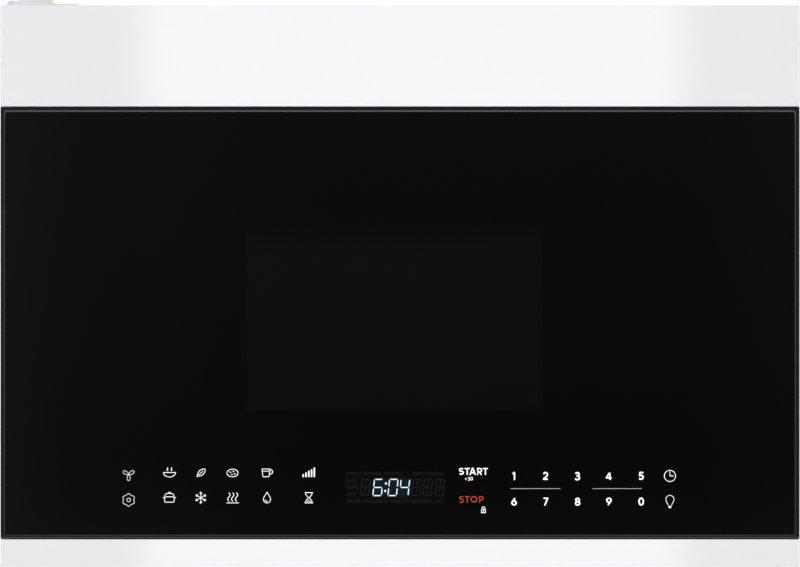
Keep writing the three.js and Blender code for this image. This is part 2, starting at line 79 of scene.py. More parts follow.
def area_light(name, loc, target, size, power, color=(1, 1, 1), spread=math.pi, glossy=True):
    data = bpy.data.lights.new(name, "AREA")
    data.shape = "RECTANGLE"
    data.size, data.size_y = size
    data.energy = power
    data.color = color
    data.spread = spread
    obj = bpy.data.objects.new(name, data)
    scene.collection.objects.link(obj)
    obj.location = loc
    obj.rotation_euler = (Vector(target) - Vector(loc)).to_track_quat("-Z", "Y").to_euler()
    obj.visible_camera = False
    obj.visible_glossy = glossy
    return obj


area_light("softbox_left", (-2.5, -2.7, 0.45), (0, -0.3, 0), (1.8, 1.5), 33.6)
area_light("softbox_right", (2.5, -2.7, 0.45), (0, -0.3, 0), (1.8, 1.5), 33.6)
area_light("softbox_top", (0, -0.9, 2.6), (0, -0.2, 0), (1.8, 1.2), 9)
area_light("softbox_back", (0.5, 3.0, 1.0), (0, 0, 0), (2.2, 1.6), 34)
area_light("low_fill", (0, 0.2, -1.45), (0, -0.1, 0), (2.4, 1.8), 1.0, glossy=False)
area_light("gridded_strip", (0.0095, -1.6, 0), (0.0095, 0, 0), (0.409, 0.75), 0.124,
           spread=math.radians(2.6), glossy=False)

world = bpy.data.worlds.new("studio")
scene.world = world
world.use_nodes = True
wn, wl = world.node_tree.nodes, world.node_tree.links
wn.clear()
w_out = wn.new("ShaderNodeOutputWorld")
w_seen = wn.new("ShaderNodeBackground")
w_seen.inputs["Color"].default_value = (1, 1, 1, 1)
w_seen.inputs["Strength"].default_value = 1.0
w_light = wn.new("ShaderNodeBackground")
w_light.inputs["Color"].default_value = (0.96, 0.98, 1, 1)
w_light.inputs["Strength"].default_value = 0.38
# what polished faces mirror: a dim room with a soft bright ceiling
w_dir = wn.new("ShaderNodeTexCoord")
w_xyz = wn.new("ShaderNodeSeparateXYZ")
w_up = wn.new("ShaderNodeMapRange")
w_up.interpolation_type = "SMOOTHSTEP"
w_up.inputs["From Min"].default_value = -0.2
w_up.inputs["From Max"].default_value = 0.7
w_up.inputs["To Min"].default_value = 0.12
w_up.inputs["To Max"].default_value = 0.9
w_room = wn.new("ShaderNodeBackground")
w_room.inputs["Color"].default_value = (0.97, 0.985, 1, 1)
w_gloss = wn.new("ShaderNodeMixShader")
w_mix = wn.new("ShaderNodeMixShader")
w_path = wn.new("ShaderNodeLightPath")
wl.new(w_dir.outputs["Generated"], w_xyz.inputs[0])
wl.new(w_xyz.outputs[2], w_up.inputs["Value"])
wl.new(w_up.outputs[0], w_room.inputs["Strength"])
wl.new(w_path.outputs["Is Glossy Ray"], w_gloss.inputs[0])
wl.new(w_light.outputs[0], w_gloss.inputs[1])
wl.new(w_room.outputs[0], w_gloss.inputs[2])
wl.new(w_path.outputs["Is Camera Ray"], w_mix.inputs[0])
wl.new(w_gloss.outputs[0], w_mix.inputs[1])
wl.new(w_seen.outputs[0], w_mix.inputs[2])
wl.new(w_mix.outputs[0], w_out.inputs[0])


# ------------------------------------------------------------------ material helpers
class Mat:
    """A Principled material with small helpers to wire procedural detail into it."""

    def __init__(self, name, color=(0.8, 0.8, 0.8), rough=0.5, metal=0.0, **sockets):
        self.m = bpy.data.materials.new(name)
        self.m.use_nodes = True
        self.n = self.m.node_tree.nodes
        self.l = self.m.node_tree.links
        self.b = self.n["Principled BSDF"]
        self.b.inputs["Base Color"].default_value = (*color, 1)
        self.b.inputs["Roughness"].default_value = rough
        self.b.inputs["Metallic"].default_value = metal
        for k, v in sockets.items():
            s = self.b.inputs[k.replace("_", " ")]
            s.default_value = (*v, 1) if isinstance(v, tuple) else v
        self.m.diffuse_color = (*color, 1)
        self._pos = None

    @property
    def pos(self):
        if self._pos is None:
            self._pos = self.n.new("ShaderNodeTexCoord").outputs["Object"]
        return self._pos

    def node(self, kind, **props):
        n = self.n.new(kind)
        for k, v in props.items():
            setattr(n, k, v)
        return n

    def put(self, socket, value):
        if hasattr(value, "is_output") or hasattr(value, "links"):
            self.l.new(value, socket)
        elif isinstance(value, tuple) and len(value) == 3 and socket.type == "RGBA":
            socket.default_value = (*value, 1)
        else:
            socket.default_value = value

    def math(self, op, a, b=None, c=None, clamp=False):
        n = self.node("ShaderNodeMath", operation=op, use_clamp=clamp)
        self.put(n.inputs[0], a)
        if b is not None:
            self.put(n.inputs[1], b)
        if c is not None:
            self.put(n.inputs[2], c)
        return n.outputs[0]

    def vmath(self, op, a, b=None):
        n = self.node("ShaderNodeVectorMath", operation=op)
        self.put(n.inputs[0], a)
        if b is not None:
            self.put(n.inputs[1], b)
        return n.outputs[0]

    def xyz(self, v=None):
        n = self.node("ShaderNodeSeparateXYZ")
        self.l.new(v or self.pos, n.inputs[0])
        return n.outputs

    def noise(self, scale, detail=2.0, rough=0.5, vec=None):
        n = self.node("ShaderNodeTexNoise")
        n.inputs["Scale"].default_value = scale
        n.inputs["Detail"].default_value = detail
        n.inputs["Roughness"].default_value = rough
        self.l.new(vec or self.pos, n.inputs["Vector"])
        return n.outputs["Fac"]

    def voronoi(self, scale, feature="F1", out="Distance", vec=None, randomness=1.0):
        n = self.node("ShaderNodeTexVoronoi", feature=feature)
        n.inputs["Scale"].default_value = scale
        n.inputs["Randomness"].default_value = randomness
        self.l.new(vec or self.pos, n.inputs["Vector"])
        return n.outputs[out]

    def remap(self, v, a, b, c, d, kind="SMOOTHSTEP"):
        n = self.node("ShaderNodeMapRange", interpolation_type=kind)
        for i, x in enumerate((v, a, b, c, d)):
            self.put(n.inputs[i], x)
        return n.outputs[0]

    def mix(self, fac, a, b):
        n = self.node("ShaderNodeMix", data_type="RGBA")
        self.put(n.inputs[0], fac)
        self.put(n.inputs[6], a)
        self.put(n.inputs[7], b)
        return n.outputs[2]

    def color(self, v):
        self.l.new(v, self.b.inputs["Base Color"])
        return self

    def rough(self, v):
        self.l.new(v, self.b.inputs["Roughness"])
        return self

    def bump(self, v, strength=0.2, distance=0.0002):
        n = self.node("ShaderNodeBump")
        n.inputs["Strength"].default_value = strength
        n.inputs["Distance"].default_value = distance
        self.l.new(v, n.inputs["Height"])
        self.l.new(n.outputs[0], self.b.inputs["Normal"])
        return self


def tint(m, base, amount, scale, detail=3.0):
    """Base colour that wanders by +-amount at one scale."""
    lo = tuple(c * (1 - amount) for c in base)
    hi = tuple(min(1, c * (1 + amount)) for c in base)
    return m.mix(m.remap(m.noise(scale, detail), 0.3, 0.7, 0, 1, "LINEAR"), lo, hi)


def white_paint(name, rough=0.345, peel=1100, strength=0.05):
    m = Mat(name, rough=rough)
    m.color(tint(m, (0.845, 0.85, 0.862), 0.006, 9))
    m.rough(m.remap(m.noise(140, 3), 0.2, 0.8, rough - 0.035, rough + 0.035, "LINEAR"))
    m.bump(m.noise(peel, 2), strength, 0.0001)
    return m.m


def moulded(name, base, rough, grain=2400, strength=0.12, amount=0.08, spec=0.5):
    m = Mat(name, rough=rough)
    m.b.inputs["Specular IOR Level"].default_value = spec
    m.color(tint(m, base, amount, 60))
    m.rough(m.remap(m.noise(grain / 6, 2), 0.25, 0.75, rough - 0.05, rough + 0.06, "LINEAR"))
    m.bump(m.voronoi(grain), strength, 0.00006)
    return m.m


def sheet_metal(name, base, rough=0.36, spangle=True, brush=None, metal=1.0):
    m = Mat(name, rough=rough, metal=metal)
    if spangle:
        v = m.voronoi(210, "F1", "Color")
        g = m.xyz(v)[0]
        lo = tuple(c * 0.94 for c in base)
        hi = tuple(min(1, c * 1.04) for c in base)
        m.color(m.mix(g, lo, hi))
        m.rough(m.remap(g, 0, 1, rough - 0.04, rough + 0.06, "LINEAR"))
        m.bump(m.noise(600, 2), 0.05, 0.0001)
    else:
        stretch = m.node("ShaderNodeMapping")
        stretch.inputs["Scale"].default_value = brush or (4, 900, 900)
        m.l.new(m.pos, stretch.inputs["Vector"])
        s = m.noise(1.0, 4, 0.6, stretch.outputs[0])
        m.color(m.mix(m.remap(s, 0.3, 0.7, 0, 1, "LINEAR"), tuple(c * 0.86 for c in base), base))
        m.rough(m.remap(s, 0.3, 0.7, rough - 0.06, rough + 0.08, "LINEAR"))
        m.bump(s, 0.08, 0.00005)
    return m.m


def enamel():
    """Light grey fired enamel with fine dark and light speckles."""
    m = Mat("speckled_enamel", rough=0.3)
    d = m.voronoi(620)
    dark = m.remap(d, 0.13, 0.19, 1, 0)
    d2 = m.voronoi(410)
    lite = m.remap(d2, 0.1, 0.16, 1, 0)
    base = tint(m, (0.56, 0.57, 0.56), 0.03, 12)
    m.color(m.mix(lite, m.mix(dark, base, (0.2, 0.21, 0.22)), (0.78, 0.78, 0.76)))
    m.bump(m.noise(420, 2), 0.1, 0.0002)
    return m.m


WINDOW = (-0.1165, 0.1075, 117 - H2, 265.5 - H2)   # X limits in metres, Z limits in mm


def black_glass():
    """Back-painted glass. In the window the paint is an open dot screen over the dark cavity."""
    m = Mat("black_glass", (0.003, 0.003, 0.0033), 0.04)
    m.b.inputs["Specular IOR Level"].default_value = 0.42
    x, y, z = m.xyz()
    e = 0.0012
    fx = m.math("MULTIPLY", m.remap(x, WINDOW[0] - e, WINDOW[0] + e, 0, 1), m.remap(x, WINDOW[1] - e, WINDOW[1] + e, 1, 0))
    z0, z1 = WINDOW[2] * MM, WINDOW[3] * MM
    low = m.remap(z, z0 - 0.001, z0 + 0.004, 0, 1)
    top = m.remap(z, z1 - 0.034, z1 + 0.001, 1, 0)
    win = m.math("MULTIPLY", fx, m.math("MULTIPLY", low, top))
    mp = m.node("ShaderNodeMapping")
    mp.inputs["Scale"].default_value = (625, 625, 625)
    m.l.new(m.pos, mp.inputs["Vector"])
    dots = m.node("ShaderNodeTexVoronoi", feature="F1")
    dots.inputs["Scale"].default_value = 1.0
    dots.inputs["Randomness"].default_value = 0.0
    m.l.new(mp.outputs[0], dots.inputs["Vector"])
    screen = m.remap(dots.outputs["Distance"], 0.28, 0.42, 0.75, 1.2)
    lift = m.math("MULTIPLY", m.math("MULTIPLY", win, screen), 0.0013)
    grain = m.remap(m.noise(900, 2), 0.35, 0.65, -0.0003, 0.0003, "LINEAR")
    v = m.math("ADD", m.math("ADD", lift, grain), 0.00178)
    c = m.node("ShaderNodeCombineColor")
    m.l.new(v, c.inputs[0])
    m.l.new(v, c.inputs[1])
    m.l.new(m.math("MULTIPLY", v, 1.04), c.inputs[2])
    m.color(c.outputs[0])
    m.rough(m.remap(m.noise(30, 3), 0.3, 0.7, 0.03, 0.06, "LINEAR"))
    return m.m


def ink(name, base, backlit=0.0):
    m = Mat(name, rough=0.45)
    m.color(tint(m, base, 0.03, 900))
    m.b.inputs["Specular IOR Level"].default_value = 0.3
    m.b.inputs["Emission Color"].default_value = (*base, 1)
    m.b.inputs["Emission Strength"].default_value = backlit
    return m.m


def glow(name, color, strength):
    m = Mat(name, (0.01, 0.01, 0.01), 0.4)
    m.b.inputs["Specular IOR Level"].default_value = 0.1
    core = m.remap(m.noise(2500, 1), 0.3, 0.7, 0.94, 1.06, "LINEAR")
    m.put(m.b.inputs["Emission Color"], m.mix(core, tuple(c * 0.9 for c in color), color))
    m.b.inputs["Emission Strength"].default_value = strength
    return m.m


def clear_glass():
    m = Mat("clear_glass", (0.93, 0.975, 0.965), 0.05)
    m.b.inputs["Transmission Weight"].default_value = 0.92
    m.b.inputs["IOR"].default_value = 1.5
    m.color(tint(m, (0.92, 0.97, 0.96), 0.012, 30))
    m.rough(m.remap(m.noise(180, 3), 0.3, 0.7, 0.03, 0.09, "LINEAR"))
    m.bump(m.noise(240, 2), 0.06, 0.0002)
    return m.m


def window_film():
    """Inside of the window: a black steel screen with a fine staggered pattern of holes under film."""
    m = Mat("window_screen", rough=0.2)
    x, y, z = m.xyz()
    p = 0.0017
    u = m.math("DIVIDE", x, p)
    v = m.math("DIVIDE", z, p * 0.866)
    row = m.math("FLOOR", v)
    shift = m.math("MULTIPLY", m.math("MODULO", m.math("ABSOLUTE", row), 2.0), 0.5)
    fu = m.math("SUBTRACT", m.math("FRACT", m.math("ADD", u, m.math("ADD", shift, 1000.0))), 0.5)
    fv = m.math("MULTIPLY", m.math("SUBTRACT", m.math("FRACT", v), 0.5), 0.866)
    d = m.math("SQRT", m.math("ADD", m.math("MULTIPLY", fu, fu), m.math("MULTIPLY", fv, fv)))
    hole = m.remap(d, 0.29, 0.36, 1, 0)
    inx = m.math("MULTIPLY", m.remap(x, -0.206, -0.204, 0, 1), m.remap(x, 0.083, 0.085, 1, 0))
    inz = m.math("MULTIPLY", m.remap(z, -0.088, -0.086, 0, 1), m.remap(z, 0.072, 0.074, 1, 0))
    field = m.math("MULTIPLY", inx, inz)
    m.color(m.mix(m.math("MULTIPLY", hole, field), (0.035, 0.036, 0.038), (0.004, 0.004, 0.004)))
    m.rough(m.remap(m.noise(80, 3), 0.3, 0.7, 0.14, 0.24, "LINEAR"))
    return m.m


def circuit_board(name, axis, board_lo, board_hi, parts=()):
    """Green laminate with traces; whatever stands off the board is a black component, or has the colour in parts.
    Each of parts is its limits in mm along the two axes after the board's own, and a colour."""
    m = Mat(name, rough=0.4)
    c = m.xyz()
    a = c[axis]
    on = m.math("MULTIPLY", m.math("GREATER_THAN", a, board_lo), m.math("LESS_THAN", a, board_hi))
    br = m.node("ShaderNodeTexBrick")
    br.inputs["Scale"].default_value = 260
    br.inputs["Mortar Size"].default_value = 0.06
    sw = m.node("ShaderNodeCombineXYZ")
    m.l.new(c[(axis + 1) % 3], sw.inputs[0])
    m.l.new(c[(axis + 2) % 3], sw.inputs[1])
    m.l.new(sw.outputs[0], br.inputs["Vector"])
    board = m.mix(br.outputs["Fac"], (0.012, 0.13, 0.045), (0.05, 0.26, 0.09))
    comp = (0.012, 0.012, 0.014)
    for u0, u1, v0, v1, color in parts:
        inside = m.math("MULTIPLY", m.math("COMPARE", c[(axis + 1) % 3], (u0 + u1) / 2 * MM, (u1 - u0) / 2 * MM),
                        m.math("COMPARE", c[(axis + 2) % 3], (v0 + v1) / 2 * MM, (v1 - v0) / 2 * MM))
        comp = m.mix(inside, comp, color)
    m.color(m.mix(on, comp, board))
    m.bump(m.noise(900, 2), 0.1, 0.0001)
    return m.m


def winding():
    m = Mat("winding", rough=0.35)
    c = m.xyz()
    coil = m.math("MULTIPLY", m.math("GREATER_THAN", c[0], 0.2015), m.math("LESS_THAN", c[0], 0.2545))
    w = m.math("SINE", m.math("MULTIPLY", c[2], 5200.0))
    copper = m.mix(m.remap(w, -1, 1, 0, 1, "LINEAR"), (0.25, 0.07, 0.02), (0.62, 0.25, 0.1))
    lam = m.mix(m.remap(m.math("SINE", m.math("MULTIPLY", c[0], 9000.0)), -1, 1, 0, 1, "LINEAR"), (0.04, 0.04, 0.045), (0.1, 0.1, 0.105))
    m.color(m.mix(m.math("MULTIPLY", coil, m.math("LESS_THAN", c[1], -0.2)), lam, copper))
    m.bump(w, 0.3, 0.0003)
    return m.m


def mica():
    m = Mat("mica", rough=0.55)
    flake = m.xyz(m.voronoi(260, "F1", "Color"))[0]
    m.color(m.mix(flake, (0.42, 0.37, 0.28), (0.6, 0.55, 0.45)))
    m.rough(m.remap(flake, 0, 1, 0.35, 0.7, "LINEAR"))
    m.bump(flake, 0.15, 0.0001)
    return m.m


def carbon():
    m = Mat("charcoal_filter", rough=0.9)
    c = m.xyz()
    hx = m.math("ABSOLUTE", m.math("SINE", m.math("MULTIPLY", m.math("ADD", c[0], m.math("MULTIPLY", c[2], 0.577)), 520.0)))
    hz = m.math("ABSOLUTE", m.math("SINE", m.math("MULTIPLY", m.math("SUBTRACT", c[0], m.math("MULTIPLY", c[2], 0.577)), 520.0)))
    net = m.remap(m.math("MINIMUM", hx, hz), 0.08, 0.2, 1, 0)
    grain = m.voronoi(900)
    m.color(m.mix(net, m.mix(grain, (0.006, 0.006, 0.006), (0.03, 0.03, 0.03)), (0.35, 0.36, 0.37)))
    m.bump(grain, 0.6, 0.0006)
    return m.m


def frosted():
    m = Mat("frosted_lens", rough=0.28)
    m.color(tint(m, (0.83, 0.86, 0.88), 0.02, 80))
    x = m.xyz()[0]
    m.bump(m.math("SINE", m.math("MULTIPLY", x, 3140.0)), 0.35, 0.0003)
    return m.m


def lip_painted_highlight():
    """The frame's lip, painted lighter than the frame as a painted highlight and painted brighter still along the top.
    """
    m = Mat("frame_lip", rough=0.3)
    z = m.xyz()[2]
    # the top side of the lip gets the brighter colour: painted highlight
    top = m.remap(z, 0.125, 0.132, 0, 1)
    m.color(m.mix(top, (0.019, 0.0192, 0.0198), (0.078, 0.0785, 0.080)))
    m.rough(m.remap(m.noise(400, 2), 0.25, 0.75, 0.26, 0.36, "LINEAR"))
    m.bump(m.voronoi(2400), 0.08, 0.00006)
    return m.m


def outlet_plastic():
    """White moulding, its low step painted a shade greyer as painted shade."""
    m = Mat("outlet_plastic", rough=0.42)
    x = m.xyz()[0]
    # the low step at the outer end gets the greyer colour: painted shade
    m.color(m.mix(m.remap(x, -0.2962, -0.2957, 0, 1), tint(m, (0.79, 0.795, 0.803), 0.01, 60), tint(m, (0.88, 0.883, 0.89), 0.01, 60)))
    m.bump(m.voronoi(1700), 0.05, 0.00006)
    return m.m


# Near-black sheet that stands for shade: painted shade behind the screens and a painted shadow line beside the frame
# lip.
def painted_shade_black():
    m = Mat("painted_shade_sheet", rough=0.8)
    m.b.inputs["Specular IOR Level"].default_value = 0.08
    m.color(tint(m, (0.005, 0.005, 0.005), 0.4, 400))
    return m.m


def display_window():
    """The clear patch of the paint over the display: a shade lighter, with light scattered round the lit digits."""
    m = Mat("display_window", (0.003, 0.003, 0.003), 0.045)
    m.b.inputs["Specular IOR Level"].default_value = 0.42
    x, y, z = m.xyz()
    e = 0.0022
    (a, t), (b, u) = px(372.5, 479.0), px(410.5, 496.5)
    fx = m.math("MULTIPLY", m.remap(x, a * MM - e, a * MM + e, 0, 1), m.remap(x, b * MM - e, b * MM + e, 1, 0))
    fz = m.math("MULTIPLY", m.remap(z, u * MM - e, u * MM + e, 0, 1), m.remap(z, t * MM - e, t * MM + e, 1, 0))
    near = m.math("MULTIPLY", m.math("MULTIPLY", fx, fz), m.remap(m.noise(420, 2), 0.3, 0.7, 0.8, 1.2, "LINEAR"))
    m.put(m.b.inputs["Emission Color"], m.mix(near, (0, 0, 0), (0.0040, 0.0098, 0.0150)))
    m.b.inputs["Emission Strength"].default_value = 1.0
    m.color(m.mix(m.remap(m.noise(900, 2), 0.35, 0.65, 0, 1, "LINEAR"), (0.00262, 0.0027, 0.00262), (0.00312, 0.0032, 0.00312)))
    return m.m


MAT = {
    "white_paint": white_paint("white_paint"),
    "white_moulding": white_paint("white_moulding", 0.36, 900, 0.035),
    "charcoal_plastic": moulded("charcoal_plastic", (0.0085, 0.0088, 0.0094), 0.42, spec=0.3),
    "black_plastic": moulded("black_plastic", (0.012, 0.012, 0.013), 0.46),
    "black_glass": black_glass(),
    "galvanised": sheet_metal("galvanised", (0.60, 0.615, 0.625), 0.4, metal=0.55),
    "steel": sheet_metal("plain_steel", (0.52, 0.53, 0.55), 0.34, False, metal=0.8),
    "aluminium": sheet_metal("aluminium", (0.76, 0.77, 0.78), 0.36, False, (500, 500, 8), metal=0.75),
    "grey_enamel": enamel(),
    "black_steel": moulded("black_steel", (0.014, 0.0145, 0.016), 0.36, 1500, 0.06),
    "clear_glass": clear_glass(),
    "window_film": window_film(),
    "mica": mica(),
    "copper": winding(),
    "white_plastic": moulded("natural_nylon", (0.72, 0.71, 0.66), 0.42, 1500, 0.06, 0.02),
    "circuit_board": circuit_board("circuit_board", 1, -0.3841, -0.3821, [(39 - H2, 57 - H2, 89, 131, (0.5, 0.46, 0.3))]),
    "charcoal": carbon(),
    "lamp_lens": frosted(),
    "zinc": sheet_metal("zinc_plate", (0.66, 0.67, 0.68), 0.3, False, (700, 700, 700), metal=0.8),
    "outlet_plastic": outlet_plastic(),
    "mesh_aluminium": sheet_metal("mesh_aluminium", (0.72, 0.73, 0.74), 0.34, False, (60, 60, 60), metal=0.7),
    "lamp_glow": frosted(),
    # dark grey sheet under the filter mesh: painted shade between the strands
    "filter_painted_shade_pad": sheet_metal("filter_painted_shade_pad", (0.27, 0.275, 0.28), 0.5, False, (420, 420, 420), metal=0.6),
}
BOARDS = {
    "control_board": MAT["circuit_board"],
    "power_board": circuit_board("power_board", 0, 0.2963, 0.2981, [
        (-299, -255, 259 - H2, 286 - H2, (0.03, 0.07, 0.22)), (-251, -231, 259 - H2, 286 - H2, (0.5, 0.46, 0.3)),
        (-243, -217, 169 - H2, 191 - H2, (0.5, 0.46, 0.3))]),
    "noise_filter_board": circuit_board("noise_filter_board", 2, (391.9 - H2) * MM, (393.7 - H2) * MM, [
        (-287, -261, -339, -315, (0.52, 0.4, 0.13)), (-250, -230, -328, -308, (0.26, 0.1, 0.035)), (-227, -216, -341, -299, (0.03, 0.07, 0.22))]),
    "cooktop_lamp_board": circuit_board("lamp_board", 2, (13.9 - H2) * MM, (15.7 - H2) * MM, [
        (-27, 27, -331, -309, (0.7, 0.6, 0.24)), (-37, -31, -322, -316, (0.6, 0.6, 0.58)), (31, 37, -322, -316, (0.6, 0.6, 0.58))]),
}
WHITE_INK = ink("white_ink", (0.93, 0.93, 0.932), 0.35)
GREY_INK = ink("grey_ink", (0.43, 0.43, 0.432))
RED_INK = ink("red_ink", (0.50, 0.045, 0.042))
LIT = glow("lit_segment", (0.80, 0.93, 1.0), 1.15)
UNLIT = ink("unlit_segment", (0.0031, 0.0036, 0.0034))
UNLIT_BAR = ink("unlit_bar", (0.0018, 0.0019, 0.0019))
WINDOW_PATCH = display_window()
PAINTED_SHADE = painted_shade_black()
LIP_PAINTED_HIGHLIGHT = lip_painted_highlight()
# lighter colour for a strip on the frame's lower edge: painted highlight
PAINTED_EDGE_HIGHLIGHT = moulded("frame_edge_painted_highlight", (0.052, 0.0524, 0.053), 0.3, 2400, 0.08, 0.04)

SLOT_OF = {s["node"]: s["material_slot"] for s in frame["record"]["subparts"]}

for node, obj in frame["nodes"].items():
    m = BOARDS.get(node) or MAT[SLOT_OF[node]]
    for slot in obj.material_slots:
        slot.material = m


def soften(node, width_mm, segments=3, angle=40):
    """Rounds the edges of a CAD node with a modifier; its mesh stays as it is."""
    b = frame["nodes"][node].modifiers.new("edge_radius", "BEVEL")
    b.width = width_mm * MM
    b.segments = segments
    b.limit_method = "ANGLE"
    b.angle_limit = math.radians(angle)
    b.harden_normals = True
    b.use_clamp_overlap = True
    b.miter_outer = "MITER_ARC"


# ------------------------------------------------------------------ mesh helpers
def new_object(name, bm, material, body, smooth=True, angle=35):
    me = bpy.data.meshes.new(name)
    bmesh.ops.recalc_face_normals(bm, faces=bm.faces)
    if smooth:
        lim = math.radians(angle)
        for f in bm.faces:
            f.smooth = True
        for e in bm.edges:
            if len(e.link_faces) == 2 and e.calc_face_angle(0) > lim:
                e.smooth = False
    bm.to_mesh(me)
    bm.free()
    me.materials.append(material)
    obj = bpy.data.objects.new(name, me)
    scene.collection.objects.link(obj)
    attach(obj, body)
    return obj


def add_box(bm, x0, x1, y0, y1, z0, z1, r=0.0, segs=2):
    """A box in mm, heights from the underside of the case, with rounded edges."""
    m = Matrix.Translation(((x0 + x1) / 2 * MM, (y0 + y1) / 2 * MM, ((z0 + z1) / 2 - H2) * MM)) @ Matrix.Diagonal(
        ((x1 - x0) * MM, (y1 - y0) * MM, (z1 - z0) * MM, 1))
    made = bmesh.ops.create_cube(bm, size=1, matrix=m)
    if r:
        edges = {e for v in made["verts"] for e in v.link_edges}
        bmesh.ops.bevel(bm, geom=list(edges), offset=r * MM, segments=segs, profile=0.5, affect="EDGES")


def add_lathe(bm, profile, segs, matrix):
    """A closed ring from a closed profile of (radius, height) mm, turned about local Z."""
    rings = []
    for i in range(segs):
        a = 2 * math.pi * i / segs
        rings.append([bm.verts.new(matrix @ Vector((r * math.cos(a) * MM, r * math.sin(a) * MM, z * MM))) if r > 1e-9 else None
                      for r, z in profile])
    axis = {}
    for j, (r, z) in enumerate(profile):
        if r <= 1e-9:
            axis[j] = bm.verts.new(matrix @ Vector((0, 0, z * MM)))
    n = len(profile)
    for i in range(segs):
        a, b = rings[i], rings[(i + 1) % segs]
        for j in range(n):
            k = (j + 1) % n
            q = [a[j] or axis[j], b[j] or axis[j], b[k] or axis[k], a[k] or axis[k]]
            u = []
            for v in q:
                if v not in u:
                    u.append(v)
            if len(u) >= 3:
                bm.faces.new(u)


def at(x, y, z, axis="z"):
    """Places a local frame at a point in mm; its local Z runs along the axis named."""
    t = Matrix.Translation((x * MM, y * MM, (z - H2) * MM))
    rot = {
        "z": Matrix.Identity(4),
        "-z": Matrix.Rotation(math.pi, 4, "X"),
        "x": Matrix.Rotation(math.pi / 2, 4, "Y"),
        "-x": Matrix.Rotation(-math.pi / 2, 4, "Y"),
        "y": Matrix.Rotation(-math.pi / 2, 4, "X"),
        "-y": Matrix.Rotation(math.pi / 2, 4, "X"),
    }[axis]
    return t @ rot


def add_screw(bm, x, y, z, axis, r=3.6, h=1.6, turn=0.4):
    """A pan-head cross-recess screw whose head stands on a surface at (x, y, z)."""
    m = at(x, y, z, axis) @ Matrix.Rotation(turn, 4, "Z")
    segs = 24
    dome = [(r, -0.4), (r, h * 0.35), (r * 0.93, h * 0.66), (r * 0.76, h * 0.88), (r * 0.5, h)]
    rings = []
    for rr, zz in dome:
        rings.append([bm.verts.new(m @ Vector((rr * math.cos(2 * math.pi * i / segs) * MM, rr * math.sin(2 * math.pi * i / segs) * MM, zz * MM))) for i in range(segs)])
    for a, b in zip(rings, rings[1:]):
        for i in range(segs):
            bm.faces.new((a[i], a[(i + 1) % segs], b[(i + 1) % segs], b[i]))
    bm.faces.new(list(reversed(rings[0])))
    # cross recess: the crown is a ring of faces round a sunk cross
    w, L, d = r * 0.11, r * 0.44, h * 0.62
    out = [(L, -w), (L, w), (w, w), (w, L), (-w, L), (-w, w), (-L, w), (-L, -w), (-w, -w), (-w, -L), (w, -L), (w, -w)]
    rim = [bm.verts.new(m @ Vector((p[0] * MM, p[1] * MM, h * MM))) for p in out]
    floor = [bm.verts.new(m @ Vector((p[0] * 0.8 * MM, p[1] * 0.8 * MM, (h - d) * MM))) for p in out]
    n = len(out)
    for i in range(n):
        bm.faces.new((rim[i], floor[i], floor[(i + 1) % n], rim[(i + 1) % n]))
    bm.faces.new(floor)
    top = rings[-1]
    edges = [bm.edges.get((top[i], top[(i + 1) % segs])) for i in range(segs)]
    edges += [bm.edges.get((rim[i], rim[(i + 1) % n])) for i in range(n)]
    bmesh.ops.triangle_fill(bm, edges=edges, use_beauty=True)


def sweep(bm, pts, radius, sides=8, closed=False):
    """A round tube along points in metres."""
    P = [Vector(p) for p in pts]
    n = len(P)
    rings = []
    up = None
    for i in range(n):
        a = P[(i - 1) % n] if (closed or i) else P[0]
        b = P[(i + 1) % n] if (closed or i < n - 1) else P[-1]
        t = (b - a).normalized()
        if up is None:
            up = t.orthogonal().normalized()
        up = (up - t * up.dot(t)).normalized()
        side = t.cross(up)
        rings.append([bm.verts.new(P[i] + radius * (math.cos(2 * math.pi * k / sides) * up + math.sin(2 * math.pi * k / sides) * side)) for k in range(sides)])
    for i in range(n if closed else n - 1):
        a, b = rings[i], rings[(i + 1) % n]
        for k in range(sides):
            bm.faces.new((a[k], a[(k + 1) % sides], b[(k + 1) % sides], b[k]))
    if not closed:
        bm.faces.new(list(reversed(rings[0])))
        bm.faces.new(rings[-1])


# ------------------------------------------------------------------ flat marks on the glass
FACE = -390.6   # glass face, mm
PROUD = 0.09    # how far the printed marks stand out


def arc(cx, cy, rx, ry, a0, a1, step=7):
    n = max(2, int(abs(a1 - a0) / step) + 1)
    return [(cx + rx * math.cos(math.radians(a0 + (a1 - a0) * i / (n - 1))), cy + ry * math.sin(math.radians(a0 + (a1 - a0) * i / (n - 1)))) for i in range(n)]


